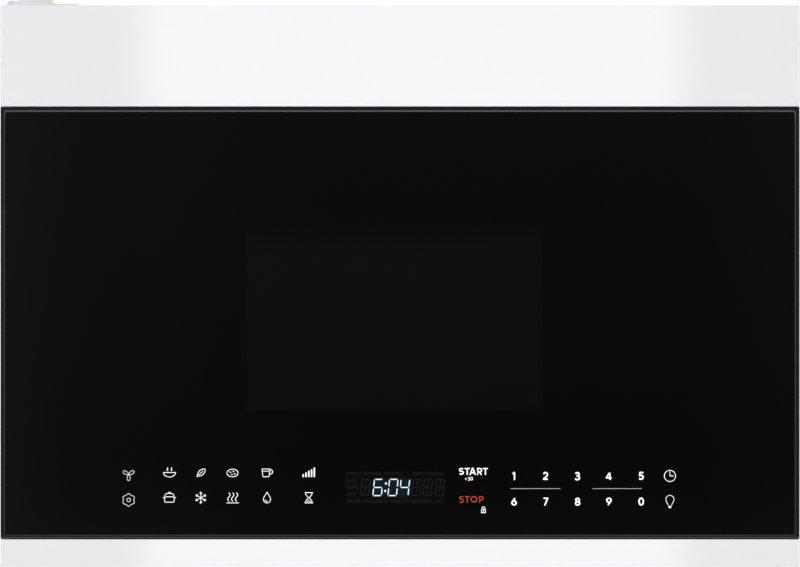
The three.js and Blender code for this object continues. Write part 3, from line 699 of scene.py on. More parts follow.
def outline(strokes, pitch):
    """Closed outlines of a set of pen strokes. A stroke is (points, width, round ends or not)."""
    pts = np.array([p for s in strokes for p in s[0]])
    wmax = max(s[1] for s in strokes)
    lo = pts.min(0) - wmax - 2 * pitch
    hi = pts.max(0) + wmax + 2 * pitch
    nx, ny = (np.ceil((hi - lo) / pitch)).astype(int) + 1
    gx = lo[0] + np.arange(nx) * pitch
    gy = lo[1] + np.arange(ny) * pitch
    X, Y = np.meshgrid(gx, gy, indexing="ij")
    D = np.full(X.shape, 1e9)
    for points, width, soft in strokes:
        P = np.array(points, float)
        d = np.full(X.shape, 1e9)
        for a, b in zip(P, P[1:]):
            ab = b - a
            L = max(1e-12, float(ab @ ab))
            t = np.clip(((X - a[0]) * ab[0] + (Y - a[1]) * ab[1]) / L, 0, 1)
            d = np.minimum(d, np.hypot(X - a[0] - t * ab[0], Y - a[1] - t * ab[1]))
        d = d - width / 2
        if not soft:
            for e, f in ((P[0], P[1]), (P[-1], P[-2])):
                t = (f - e) / max(1e-9, np.hypot(*(f - e)))
                near = np.hypot(X - e[0], Y - e[1]) < width * 0.85
                d = np.where(near, np.maximum(d, -((X - e[0]) * t[0] + (Y - e[1]) * t[1])), d)
        D = np.minimum(D, d)
    inside = D < 0
    case = (inside[:-1, :-1] * 1 + inside[1:, :-1] * 2 + inside[1:, 1:] * 4 + inside[:-1, 1:] * 8)
    follow, where = {}, {}

    def edge(i, j, k):
        """k: 0 bottom, 1 right, 2 top, 3 left of cell (i, j)."""
        a, b = [((i, j), (i + 1, j)), ((i + 1, j), (i + 1, j + 1)), ((i, j + 1), (i + 1, j + 1)), ((i, j), (i, j + 1))][k]
        key = (a, b)
        if key not in where:
            da, db = D[a], D[b]
            t = da / (da - db)
            where[key] = (gx[a[0]] + t * (gx[b[0]] - gx[a[0]]), gy[a[1]] + t * (gy[b[1]] - gy[a[1]]))
        return key

    TABLE = {1: [(3, 0)], 2: [(0, 1)], 3: [(3, 1)], 4: [(1, 2)], 5: [(3, 2), (1, 0)], 6: [(0, 2)], 7: [(3, 2)],
             8: [(2, 3)], 9: [(2, 0)], 10: [(0, 3), (2, 1)], 11: [(2, 1)], 12: [(1, 3)], 13: [(1, 0)], 14: [(0, 3)]}
    for i, j in zip(*np.nonzero((case > 0) & (case < 15))):
        for a, b in TABLE[int(case[i, j])]:
            follow[edge(i, j, a)] = edge(i, j, b)
    loops = []
    while follow:
        start, nxt = follow.popitem()
        loop = [where[start]]
        while nxt != start:
            loop.append(where[nxt])
            nxt = follow.pop(nxt)
        loops.append(loop)
    return [thin(l, pitch * 0.09) for l in loops]


def thin(loop, tol):
    """Drops the points of a closed loop that lie within tol of the line through the ones kept."""
    P = np.array(loop)
    n = len(P)
    if n < 8:
        return loop
    far = int(np.argmax(np.hypot(*(P - P[0]).T)))
    keep = {0, far}
    stack = [(0, far), (far, n)]
    while stack:
        a, b = stack.pop()
        if b - a < 2:
            continue
        A, B = P[a], P[b % n]
        ab = B - A
        L = np.hypot(*ab)
        Q = P[a + 1:b]
        d = np.abs((Q[:, 0] - A[0]) * ab[1] - (Q[:, 1] - A[1]) * ab[0]) / L if L > 1e-9 else np.hypot(*(Q - A).T)
        k = int(np.argmax(d))
        if d[k] > tol:
            keep.add(a + 1 + k)
            stack += [(a, a + 1 + k), (a + 1 + k, b)]
    return [tuple(P[i]) for i in sorted(keep)]


def round_rect(x0, x1, y0, y1, r, n=5):
    out = []
    for cx, cy, a in ((x1 - r, y1 - r, 0), (x0 + r, y1 - r, 90), (x0 + r, y0 + r, 180), (x1 - r, y0 + r, 270)):
        out += [(cx + r * math.cos(math.radians(a + 90 * k / n)), cy + r * math.sin(math.radians(a + 90 * k / n))) for k in range(n + 1)]
    return out


def plate(name, loops, material, proud=PROUD, back=0.03, face=FACE):
    """A thin solid plate on the glass from closed (X, Z) outlines in mm, holes included."""
    cu = bpy.data.curves.new(name + "_outline", "CURVE")
    cu.dimensions = "2D"
    cu.fill_mode = "BOTH"
    cu.extrude = (proud + back) / 2 * MM
    for loop in loops:
        s = cu.splines.new("POLY")
        s.points.add(len(loop) - 1)
        for p, (x, z) in zip(s.points, loop):
            p.co = (x * MM, z * MM, 0, 1)
        s.use_cyclic_u = True
    tmp = bpy.data.objects.new(name + "_outline", cu)
    scene.collection.objects.link(tmp)
    me = bpy.data.meshes.new_from_object(tmp.evaluated_get(bpy.context.evaluated_depsgraph_get()))
    bpy.data.objects.remove(tmp)
    bpy.data.curves.remove(cu)
    bm = bmesh.new()
    bm.from_mesh(me)
    bpy.data.meshes.remove(me)
    bmesh.ops.remove_doubles(bm, verts=bm.verts, dist=1e-7)
    # local (x, y, z) becomes (X, depth, Z)
    bmesh.ops.transform(bm, verts=bm.verts, matrix=Matrix.Translation((0, (face - (proud - back) / 2) * MM, 0)) @ Matrix.Rotation(math.pi / 2, 4, "X"))
    return new_object(name, bm, material, "door", smooth=False)


# pen strokes of plain digits in a box 0.62 wide and 1 high, with their middle at x = 0
DIGITS = {
    "0": [arc(0, 0.5, 0.25, 0.42, 90, 450)],
    "1": [[(-0.17, 0.74), (0.06, 0.92), (0.06, 0.0)]],
    "2": [arc(0, 0.67, 0.22, 0.25, 170, 0) + arc(0, 0.67, 0.22, 0.25, 0, -40)[1:] + [(-0.23, 0.08), (0.26, 0.08)]],
    "3": [arc(-0.03, 0.7, 0.21, 0.2, 158, -52) + [(-0.06, 0.5)] + arc(-0.03, 0.25, 0.25, 0.235, 58, -158)],
    "4": [[(0.11, 0.0), (0.11, 0.9)], [(0.06, 0.89), (-0.31, 0.25), (0.32, 0.25)]],
    "5": [[(0.25, 0.92), (-0.14, 0.92), (-0.18, 0.52)] + arc(-0.02, 0.33, 0.25, 0.25, 122, -118) + [(-0.26, 0.165)]],
    "6": [[(0.12, 0.95), (-0.22, 0.42)], arc(0, 0.33, 0.25, 0.25, 0, 360)],
    "7": [[(-0.25, 0.92), (0.25, 0.92), (-0.1, 0.0)]],
    "8": [arc(0, 0.27, 0.25, 0.2, 0, 360), arc(0, 0.71, 0.2, 0.205, 0, 360)],
    "9": [[(-0.12, 0.05), (0.22, 0.58)], arc(0, 0.67, 0.25, 0.25, 0, 360)],
    "O": [arc(0, 0.5, 0.4, 0.42, 0, 360)],
    "N": [[(-0.28, 0.0), (-0.28, 0.94), (0.28, 0.06), (0.28, 1.0)]],
    "F": [[(-0.2, 0.0), (-0.2, 0.92), (0.24, 0.92)], [(-0.2, 0.49), (0.18, 0.49)]],
    "+": [[(-0.26, 0.45), (0.26, 0.45)], [(0, 0.19), (0, 0.71)]],
    "S": [arc(0, 0.715, 0.215, 0.215, 28, 265) + arc(0, 0.26, 0.245, 0.24, 85, -150)],
    "T": [[(-0.3, 0.93), (0.3, 0.93)], [(0, 0.0), (0, 0.93)]],
    "A": [[(-0.37, 0.0), (-0.03, 0.88), (0.03, 0.88), (0.37, 0.0)], [(-0.24, 0.27), (0.24, 0.27)]],
    "R": [[(-0.22, 0.0), (-0.22, 0.93)] + arc(0.03, 0.685, 0.235, 0.245, 90, -90) + [(-0.22, 0.44)], [(0.0, 0.44), (0.26, 0.0)]],
    "P": [[(-0.22, 0.0), (-0.22, 0.93)] + arc(0.03, 0.675, 0.235, 0.255, 90, -90) + [(-0.22, 0.42)]],
}


def glyph(ch, cx, base, height, weight, stretch=1.0):
    """Strokes of one character: centre x, baseline, cap height and pen width in mm."""
    return [([(cx + x * height * stretch, base + y * height) for x, y in s], weight, ch in "0O689" and len(s) > 20) for s in DIGITS[ch]]


def mark(name, strokes, material, pitch=0.07):
    return plate(name, outline(strokes, pitch), material)


# digits 1 to 5 and 6 to 9, 0
for row, (chars, y0, y1) in enumerate((("12345", 471.5, 480.3), ("67890", 497.0, 506.0))):
    for ch, x in zip(chars, (514, 545.6, 577.6, 609, 641.2)):
        X, Z0 = px(x, y1)
        Z1 = px(x, y0)[1]
        mark("digit_" + ch, glyph(ch, X, Z0 + 0.34, 6.0, 0.97 if ch in "48" else 1.03, 1.08), WHITE_INK)


def line(*p):
    return [px(*q) for q in p]


def ring(x, y, r, a0=0, a1=360):
    X, Z = px(x, y)
    return arc(X, Z, r * PX, r * PX, a0, a1)


def smooth(points, closed=False, n=6):
    """A soft curve through points (Catmull-Rom)."""
    P = [Vector(q) for q in points]
    out = []
    m = len(P)
    for i in range(m if closed else m - 1):
        a, b, c, d = (P[(i + k) % m] if closed else P[min(max(i + k, 0), m - 1)] for k in (-1, 0, 1, 2))
        for k in range(n):
            t = k / n
            out.append(tuple(0.5 * (2 * b + (c - a) * t + (2 * a - 5 * b + 4 * c - d) * t * t + (3 * b - a - 3 * c + d) * t ** 3)))
    out.append(tuple(P[0] if closed else P[-1]))
    return out


# two thin rules between the digit rows
mark("rules", [(line((510.7, 488.62), (560.5, 488.62)), 0.43, False), (line((592.3, 488.62), (641.7, 488.62)), 0.43, False)], GREY_INK)

# clock face
mark("clock_symbol", [(ring(669.96, 475.93, 5.62), 0.4, True), (line((669.96, 471.2), (669.96, 476.3)), 0.42, False),
                      (line((669.6, 475.97), (673.7, 475.97)), 0.42, False)], WHITE_INK, 0.05)
# lamp bulb
mark("lamp_symbol", [
    (line((668.2, 505.0)) + ring(669.95, 499.45, 4.08, 205, -25) + line((671.7, 505.0)), 0.38, True),
    (line((668.3, 506.55), (671.6, 506.55)), 0.75, False), (line((668.95, 507.65), (670.95, 507.65)), 0.6, False)], WHITE_INK, 0.05)
# hood fan: three outlined blades round the middle
blades = []
X, Z = px(128.61, 474.45)
for k in range(3):
    a = math.radians(30 + 120 * k)
    c, t = math.cos(a), math.sin(a)
    half = [(0.2, 0.0), (1.1, 0.8), (2.2, 1.13), (3.5, 1.14), (4.4, 0.74), (4.72, 0.0)]
    loop = smooth(half + [(u, -v) for u, v in half[-2:0:-1]], True)
    blades.append(([(X + u * c - v * t, Z + u * t + v * c) for u, v in loop], 0.3, True))
mark("fan_symbol", blades, WHITE_INK, 0.045)
# settings: a soft hexagon with a small ring
X, Z = px(128.61, 499.96)
hexa = []
for t in range(0, 361, 5):
    r = 4.4 + 0.46 * math.cos(math.radians(6 * t)) + 0.03 * math.cos(math.radians(12 * t))
    hexa.append((X + r * math.sin(math.radians(t)), Z + r * math.cos(math.radians(t))))
mark("settings_symbol", [(hexa, 0.31, True), (arc(X, Z, 1.42, 1.42, 0, 360), 0.31, True)], WHITE_INK, 0.05)
# padlock
mark("lock_symbol", [
    (line((481.5, 509.5), (485.5, 509.5), (485.5, 512.7), (481.5, 512.7), (481.5, 509.5), (485.5, 509.5)), 0.46, False),
    (line((482.1, 509.5)) + ring(483.5, 508.35, 1.5, 170, 10) + line((484.9, 509.5)), 0.42, False), (line((483.5, 509.6), (483.5, 512.6)), 0.4, False)], WHITE_INK, 0.045)


# start and stop keys: each letter between two pixel columns
def word(name, letters, base, cap, weight, material):
    h = cap * PX
    Z = px(0, base)[1]
    strokes = []
    for ch, x0, x1 in letters:
        pts = [q for s in DIGITS[ch] for q in s]
        lo, hi = min(q[0] for q in pts), max(q[0] for q in pts)
        pen = 0.0 if ch == "T" else weight
        k = ((x1 - x0) * PX - pen) / ((hi - lo) * h)
        cx = px((x0 + x1) / 2, 0)[0] - (hi + lo) / 2 * h * k
        foot = weight / 2 if ch in "SO30+" else 0.0
        tall = (h - foot - (0.12 if ch == "A" else weight / 2)) / (0.88 if ch == "A" else 0.93)
        strokes += [([(cx + x * h * k, Z + foot + y * tall) for x, y in s], weight, ch in "0O") for s in DIGITS[ch]]
    mark(name, strokes, material, 0.055)


word("key_start", [("S", 459.0, 463.9), ("T", 464.6, 469.8), ("A", 469.5, 475.9), ("R", 477.1, 482.2), ("T", 482.9, 488.0)], 474.9, 6.9, 0.88, WHITE_INK)
word("key_plus_30", [("+", 464.9, 467.1), ("3", 467.8, 470.0), ("0", 470.5, 472.9)], 480.8, 3.9, 0.38, WHITE_INK)
word("key_stop", [("S", 459.2, 463.9), ("T", 464.9, 469.7), ("O", 470.5, 477.4), ("P", 479.0, 483.6)], 503.0, 6.9, 0.76, RED_INK)

# presets: a pictogram for each, in two rows
T = 0.44


def icon(name, cx, cy, strokes, s=1.0, weight=T):
    X, Z = px(cx, cy)
    mark(name, [([(X + u * s, Z + v * s) for u, v in p], w, soft) for p, w, soft in [(q[0], q[1] if len(q) > 1 else weight, True) for q in strokes]], WHITE_INK, 0.06)


# bowl with steam
icon("preset_bowl", 169.5, 472.8, [
    (arc(0, 0.2, 4.6, 3.4, 180, 360) + [(-4.6, 0.2)],), ([(-1.9, 1.5), (-1.2, 2.3), (-1.9, 3.1), (-1.3, 3.9)],), ([(1.2, 1.5), (1.9, 2.3), (1.2, 3.1), (1.8, 3.9)],)])
# leaf
c, t = math.cos(math.radians(42)), math.sin(math.radians(42))
leaf = [(4.3 * u, 2.15 * (1 - u * u) ** 0.85) for u in np.linspace(-1, 1, 15)]
leaf += [(u, -v) for u, v in leaf[-2::-1]]
icon("preset_leaf", 201, 472.8, [([(0.3 + u * c - v * t, 0.2 + u * t + v * c) for u, v in part],) for part in (leaf, [(-5.2, 0), (1.6, 0)])], 0.9, 0.46)
# root vegetable
icon("preset_root", 232.5, 473.0, [
    (arc(0, 0, 4.2, 2.9, 0, 360),), ([(-1.8, 0.6), (-1.5, 0.6)], 0.8), ([(0.6, 1.2), (0.9, 1.2)], 0.8), ([(1.6, -0.7), (1.9, -0.7)], 0.8), ([(-0.6, -1.2), (-0.3, -1.2)], 0.8)])
# cup
icon("preset_cup", 266.5, 472.8, [
    ([(-3.4, 2.9), (-2.7, -3.0), (1.9, -3.0), (2.6, 2.9), (-3.4, 2.9)],), (arc(2.7, 0.7, 2.0, 1.7, 78, -90),), ([(-3.1, 1.2), (2.3, 1.2)],)])
# level bars
icon("preset_level", 308.8, 472.6, [
    ([(-4.2, -3.0), (-4.2, -1.6)], 1.0), ([(-2.1, -3.0), (-2.1, -0.4)], 1.0), ([(0, -3.0), (0, 0.9)], 1.0), ([(2.1, -3.0), (2.1, 2.1)], 1.0), ([(4.2, -3.0), (4.2, 3.4)], 1.0)])
# covered pot
icon("preset_pot", 169.4, 498.0, [
    ([(-3.6, 0.9), (-3.6, -2.2)] + arc(-2.8, -2.4, 0.8, 0.8, 180, 270) + arc(2.8, -2.4, 0.8, 0.8, 270, 360) + [(3.6, 0.9), (-3.6, 0.9)],), ([(-4.8, 0.2), (-3.7, 0.2)],), ([(3.7, 0.2), (4.8, 0.2)],),
    (arc(0, 1.7, 3.5, 1.9, 0, 180),), ([(-0.3, 4.1), (0.3, 4.1)], 0.9)])
# snow crystal
snow = []
for k in range(6):
    a = math.radians(60 * k + 90)
    c, s = math.cos(a), math.sin(a)
    rot = lambda pts: [(u * c - v * s, u * s + v * c) for u, v in pts]
    snow.append((rot([(0, 0), (4.0, 0)]),))
    snow.append((rot([(3.3, 0.75), (2.6, 0), (3.3, -0.75)]),))
icon("preset_snow", 200.8, 497.8, snow, 1.1, 0.42)
# heat waves
icon("preset_heat", 232.7, 497.8, [([(dx + 0.9 * math.sin(t * 2 * math.pi), 3.8 - 6.4 * t) for t in np.linspace(0, 1, 17)],) for dx in (-2.9, 0, 2.9)] + [([(-4.5, -3.9), (4.5, -3.9)],)])
# drop
icon("preset_drop", 267, 497.8, [([(0, 4.2)] + arc(0, -1.1, 2.75, 2.75, 30, -210) + [(0, 4.2)],), (arc(0, -1.1, 1.4, 1.4, 200, 275),)])
# hourglass
icon("preset_hourglass", 308.8, 497.8, [
    ([(-3.0, 3.9), (3.0, 3.9)],), ([(-3.0, -3.9), (3.0, -3.9)],), ([(-2.4, 3.9), (-2.4, 2.6), (-0.35, 0), (-2.4, -2.6), (-2.4, -3.9)],), ([(2.4, 3.9), (2.4, 2.6), (0.35, 0), (2.4, -2.6), (2.4, -3.9)],), ([(-1.1, -3.1), (0, -2.2), (1.1, -3.1)],)])


# seven-segment display: lit clock reading and the faint unlit positions
def segments(cx, y0, y1, w, t, slant=0.1, gap=0.18):
    """Seven outlines (a to g) of a slanted digit centred on pixel cx between pixel rows y0 and y1; w and t in mm."""
    X, Z1 = px(cx, y0)
    Z0 = px(cx, y1)[1]
    Zm = (Z0 + Z1) / 2
    h = w / 2

    def place(pts):
        return [(X + x + (z - Zm) * slant, z) for x, z in pts]

    def horiz(z, bias):
        a, b, q = -h + gap, h - gap, t / 2
        if bias == 0:
            return [(a + q, z - q), (b - q, z - q), (b, z), (b - q, z + q), (a + q, z + q), (a, z)]
        lo, hi = (z - t, z) if bias < 0 else (z, z + t)
        return ([(a + t, lo), (b - t, lo), (b, hi), (a, hi)] if bias < 0 else [(a, lo), (b, lo), (b - t, hi), (a + t, hi)])

    def vert(side, z0, z1, low):
        x0, x1 = (-h, -h + t) if side < 0 else (h, h - t)
        if low:
            pts = [(x0, z0 + gap), (x1, z0 + gap + t), (x1, z1 - gap - t / 2), ((x0 + x1) / 2, z1 - gap), (x0, z1 - gap - t / 2)]
        else:
            pts = [(x0, z1 - gap), (x1, z1 - gap - t), (x1, z0 + gap + t / 2), ((x0 + x1) / 2, z0 + gap), (x0, z0 + gap + t / 2)]
        return pts

    return {
        "a": place(horiz(Z1, -1)), "d": place(horiz(Z0, 1)), "g": place(horiz(Zm, 0)),
        "f": place(vert(-1, Zm, Z1, False)), "b": place(vert(1, Zm, Z1, False)),
        "e": place(vert(-1, Z0, Zm, True)), "c": place(vert(1, Z0, Zm, True)),
    }


LIT_SEGS = {"6": "acdefg", "0": "abcdef", "4": "bcfg", "": ""}
lit, dark = [], []
for cx, ch in ((365.2, ""), (377.9, "6"), (393.0, "0"), (404.6, "4"), (416.6, ""), (427.7, ""), (440.0, "")):
    big = ch != ""
    s = segments(cx, 478.85 if big else 479.0, 496.1 if big else 495.8, 7.2 if big else 7.0, 0.76 if big else 0.9, gap=0.6 if big else 0.3)
    for k, loop in s.items():
        (lit if k in LIT_SEGS[ch] else dark).append(loop)
    if not big:
        # the centre strokes of the unlit positions
        X, Z = px(cx, 487.4)
        for z0, z1 in ((0.75, 4.9), (-4.9, -0.75)):
            dark.append([(X - 0.35 + z0 * 0.1, Z + z0), (X + 0.35 + z0 * 0.1, Z + z0), (X + 0.35 + z1 * 0.1, Z + z1), (X - 0.35 + z1 * 0.1, Z + z1)])


def disc(cx, cy, r, n=20):
    X, Z = px(cx, cy)
    return [(X + r * math.cos(2 * math.pi * i / n), Z + r * math.sin(2 * math.pi * i / n)) for i in range(n)]


lit += [disc(385.95, 483.5, 0.82), disc(385.15, 491.0, 0.82)]
plate("display_lit", lit, LIT)
# unlit indicators above, below and left of the digits: short bars of uneven length
bars = []
STEPS = (2.6, 1.4, 3.3, 1.1, 2.2, 4.1, 1.7, 2.9, 1.3, 3.6, 2.0)
n_bar = 0
for y, x0, x1 in ((473.4, 346.2, 360.4), (473.4, 363.5, 381.5), (473.4, 384.0, 401.5), (473.4, 413.5, 443.8), (501.6, 346.2, 360.4), (501.6, 363.5, 388.0),
                  (501.6, 391.0, 409.5), (501.6, 412.5, 430.5), (501.6, 434.5, 443.8), (480.4, 346.2, 357.5), (487.4, 346.2, 358.6), (494.4, 346.2, 356.8)):
    a = x0
    while a < x1 - 0.6:
        b = min(x1, a + STEPS[n_bar % 11])
        h = 1.05 + 0.35 * (n_bar % 3)
        (u0, w1), (u1, w0) = px(a, y - h), px(b, y + 1.2)
        bars.append([(u0, w0), (u1, w0), (u1, w1), (u0, w1)])
        a = b + 0.55
        n_bar += 1
(wx0, wz1), (wx1, wz0) = px(345.2, 471.2), px(444.9, 503.8)
plate("display_patch", [round_rect(wx0, wx1, wz0, wz1, 1.0)], WINDOW_PATCH, proud=0.03)
plate("display_unlit", dark, UNLIT, proud=0.05)
plate("display_unlit_bars", bars, UNLIT_BAR, proud=0.05)

# ------------------------------------------------------------------ solids for the details
def _temp(bm):
    me = bpy.data.meshes.new("tmp")
    bm.to_mesh(me)
    bm.free()
    ob = bpy.data.objects.new("tmp", me)
    scene.collection.objects.link(ob)
    return ob


def carve(base, tool, op="DIFFERENCE"):
    """Exact cut or join of two solids; both are used up."""
    a, b = _temp(base), _temp(tool)
    mod = a.modifiers.new("cut", "BOOLEAN")
    mod.operation, mod.solver, mod.object = op, "EXACT", b
    mod.use_self = True
    me = bpy.data.meshes.new_from_object(a.evaluated_get(bpy.context.evaluated_depsgraph_get()))
    out = bmesh.new()
    out.from_mesh(me)
    for o in (a, b):
        m = o.data
        bpy.data.objects.remove(o)
        bpy.data.meshes.remove(m)
    bpy.data.meshes.remove(me)
    return out


def stadium(ax, ay, bx, by, r, n=8):
    """Outline of a bar with round ends from a to b."""
    d = math.atan2(by - ay, bx - ax)
    out = []
    for cx, cy, s in ((bx, by, d - math.pi / 2), (ax, ay, d + math.pi / 2)):
        out += [(cx + r * math.cos(s + math.pi * k / n), cy + r * math.sin(s + math.pi * k / n)) for k in range(n + 1)]
    return out


def loft(bm, rings, matrix):
    """A closed solid through outlines of (x, y) mm at heights: [(outline, z), ...]."""
    made = [[bm.verts.new(matrix @ Vector((x * MM, y * MM, z * MM))) for x, y in o] for o, z in rings]
    n = len(made[0])
    for a, b in zip(made, made[1:]):
        for i in range(n):
            bm.faces.new((a[i], a[(i + 1) % n], b[(i + 1) % n], b[i]))
    bm.faces.new(list(reversed(made[0])))
    bm.faces.new(made[-1])


def add_bead(bm, ax, ay, bx, by, width, height, matrix, sink=0.3):
    """A pressed bead: a low domed bar with round ends on the plane of the matrix."""
    h = width / 2
    rings = [(stadium(ax, ay, bx, by, h), -sink)]
    for t, u in ((0.0, 0.0), (0.12, 0.22), (0.3, 0.62), (0.5, 0.9), (0.72, 1.0)):
        rings.append((stadium(ax, ay, bx, by, h * (1 - t)), height * u))
    loft(bm, rings, matrix)


def add_stamped_ring(bm, x, y, z, radius, width, height, segs=96, sink=0.3):
    w = width / 2
    add_lathe(bm, [(radius - w, -sink), (radius + w, -sink), (radius + w, 0), (radius + w * 0.6, height * 0.7), (radius, height),
                   (radius - w * 0.6, height * 0.7), (radius - w, 0)], segs, at(x, y, z))


def plane_plate(name, loops, thickness, matrix, material, body):
    """A flat plate of the closed (x, y) mm outlines, holes included, from 0 to thickness above the plane of the matrix."""
    cu = bpy.data.curves.new(name + "_outline", "CURVE")
    cu.dimensions = "2D"
    cu.fill_mode = "BOTH"
    cu.extrude = thickness / 2 * MM
    for loop in loops:
        s = cu.splines.new("POLY")
        s.points.add(len(loop) - 1)
        for p, (x, y) in zip(s.points, loop):
            p.co = (x * MM, y * MM, 0, 1)
        s.use_cyclic_u = True
    tmp = bpy.data.objects.new(name + "_outline", cu)
    scene.collection.objects.link(tmp)
    me = bpy.data.meshes.new_from_object(tmp.evaluated_get(bpy.context.evaluated_depsgraph_get()))
    bpy.data.objects.remove(tmp)
    bpy.data.curves.remove(cu)
    bm = bmesh.new()
    bm.from_mesh(me)
    bpy.data.meshes.remove(me)
    bmesh.ops.remove_doubles(bm, verts=bm.verts, dist=1e-7)
    bmesh.ops.transform(bm, verts=bm.verts, matrix=matrix @ Matrix.Translation((0, 0, thickness / 2 * MM)))
    return new_object(name, bm, material, body, smooth=False)


def circle(cx, cy, r, n=14):
    return [(cx + r * math.cos(2 * math.pi * i / n), cy + r * math.sin(2 * math.pi * i / n)) for i in range(n)]


def hex_holes(inside, x0, x1, y0, y1, pitch, r, n=10):
    """Staggered rows of round holes where inside(x, y) holds."""
    out, j = [], 0
    y = y0
    while y <= y1 + 1e-6:
        x = x0 + (pitch / 2 if j % 2 else 0)
        while x <= x1 + 1e-6:
            if inside(x, y):
                out.append(circle(x, y, r, n))
            x += pitch
        y += pitch * 0.866
        j += 1
    return out


# ------------------------------------------------------------------ screws
def screws(name, places, body, slot, material, **kw):
    bm = bmesh.new()
    for i, (x, y, z, axis) in enumerate(places):
        add_screw(bm, x, y, z, axis, turn=0.5 + 1.7 * i, **kw)
    return new_object(name, bm, material, body)


screws("case_side_screws", [(s * 303, y, 9, "x" if s > 0 else "-x") for s in (-1, 1) for y in (-322, -190, -58)]
       + [(s * 303, -16, z, "x" if s > 0 else "-x") for s in (-1, 1) for z in (120, 330)], "chassis", "steel", MAT["zinc"], r=3.4, h=1.3)
screws("back_panel_screws", [(s * 292, -3.2, z, "y") for s in (-1, 1) for z in (24, 118, 213, 308, 402)]
       + [(x, -3.2, z, "y") for x in (-160, 0, 160) for z in (12, 414)], "chassis", "steel", MAT["zinc"])
screws("case_top_screws", [(s * 291, -364, 426, "z") for s in (-1, 1)] + [(s * 288, -22, 426, "z") for s in (-1, 1)] + [(0, -335, 426, "z")],
       "chassis", "steel", MAT["zinc"])
screws("exhaust_adaptor_screws", [(s * 134, y, 427.3, "z") for s in (-1, 1) for y in (-125, -75)]
       + [(x, y, 427.3, "z") for x in (-66, 66) for y in (-147.2, -52.8)], "chassis", "steel", MAT["zinc"], r=3.2)
screws("base_screws", [(x, y, 0, "-z") for x, y in ((-290, -24), (290, -24), (-290, -280), (290, -280), (-98, -24), (98, -24), (-98, -310), (98, -310))]
       + [(s * 288, -370, 0, "-z") for s in (-1, 1)], "chassis", "steel", MAT["zinc"])
screws("hinge_screws", [(-290.5, -352, z, "-y") for z in (324.5, 338.5, 31, 44)], "chassis", "steel", MAT["zinc"], r=3.2)
screws("front_plate_screws", [(291, -350, z, "-y") for z in (276, 222, 176)] + [(160, -350, z, "-y") for z in (40, 336)], "chassis", "steel", MAT["zinc"], r=3.2)

# ------------------------------------------------------------------ pressed beads on the case, the base and the back sheet
bm = bmesh.new()
top = at(0, 0, 426)
for y in (-268, -238):
    add_bead(bm, -210, y, 210, y, 12, 1.4, top)
for s in (-1, 1):
    add_bead(bm, s * 215, -190, s * 215, -50, 12, 1.4, top)
new_object("case_top_beads", bm, MAT["white_paint"], "chassis", angle=75)
bm = bmesh.new()
back = at(0, 0, 0, "y")           # local (x, y) is (X, -Z)
for z in (27, 399):
    add_bead(bm, -245, -z + 0, 245, -z + 0, 7, 1.2, at(0, -3.2, 0, "y"))
for x in (-277.5, 277.5):
    add_bead(bm, x, -62, x, -364, 7, 1.2, at(0, -3.2, 0, "y"))
new_object("back_panel_beads", bm, MAT["galvanised"], "chassis", angle=75)
bm = bmesh.new()
under = at(0, 0, 0, "-z")         # local (x, y) is (X, -Y)
for x in (-92, 92):
    add_bead(bm, x, 70, x, 250, 9, 1.2, under)
for s in (-1, 1):
    add_bead(bm, s * 130, 288, s * 270, 288, 9, 1.2, under)
new_object("base_beads", bm, MAT["white_paint"], "chassis", angle=75)

# ------------------------------------------------------------------ wall plate, pressed from one sheet
bm = bmesh.new()
add_box(bm, -265, 265, -1.2, 0, 38, 386)
front = at(0, -1.2, 0, "-y")      # local (x, y) is (X, Z)
bulge = bmesh.new()
for z in (148, 215, 282):
    add_bead(bulge, -236, z, 236, z, 13, 0.9, front)
for x in (-250, 250):
    add_bead(bulge, x, 62, x, 362, 11, 0.9, front)
bm = carve(bm, bulge, "UNION")
for x in (-180, 0, 180):
    hook = bmesh.new()
    add_box(hook, x - 18, x + 18, -9, -1, 45, 46.2)
    add_box(hook, x - 18, x + 18, -9, -7.8, 45, 57, 0.5)
    bm = carve(bm, hook, "UNION")
tool = bmesh.new()
rear = at(0, 0, 0, "y")           # local (x, y) is (X, -Z)
for z in (148, 215, 282):
    loft(tool, [(stadium(-236, -z, 236, -z, r), h) for r, h in ((3.6, -1.0), (4.6, -0.85), (5.6, -0.4), (6.4, 0.2))], rear)
for x in (-250, 250):
    loft(tool, [(stadium(x, -62, x, -362, r), h) for r, h in ((2.6, -1.0), (3.6, -0.85), (4.6, -0.4), (5.4, 0.2))], rear)
for x in (-225, -135, -45, 45, 135, 225):
    for z in (110, 320):
        loft(tool, [(stadium(x - 15, -z, x + 15, -z, 7), h) for h in (-4, 1)], rear)
for x in (-203, 0, 203):
    for z in (80, 350):
        loft(tool, [(circle(x, -z, 4, 24), h) for h in (-4, 1)], rear)
for x in (-265, 265):
    for z in (38, 386):
        loft(tool, [([(x - 9, -z), (x, -z - 9), (x + 9, -z), (x, -z + 9)], h) for h in (-4, 1)], rear)
bm = carve(bm, tool)
wall_plate = new_object("wall_plate_pressed", bm, MAT["galvanised"], "chassis", angle=32)
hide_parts("wall_mounting_plate")

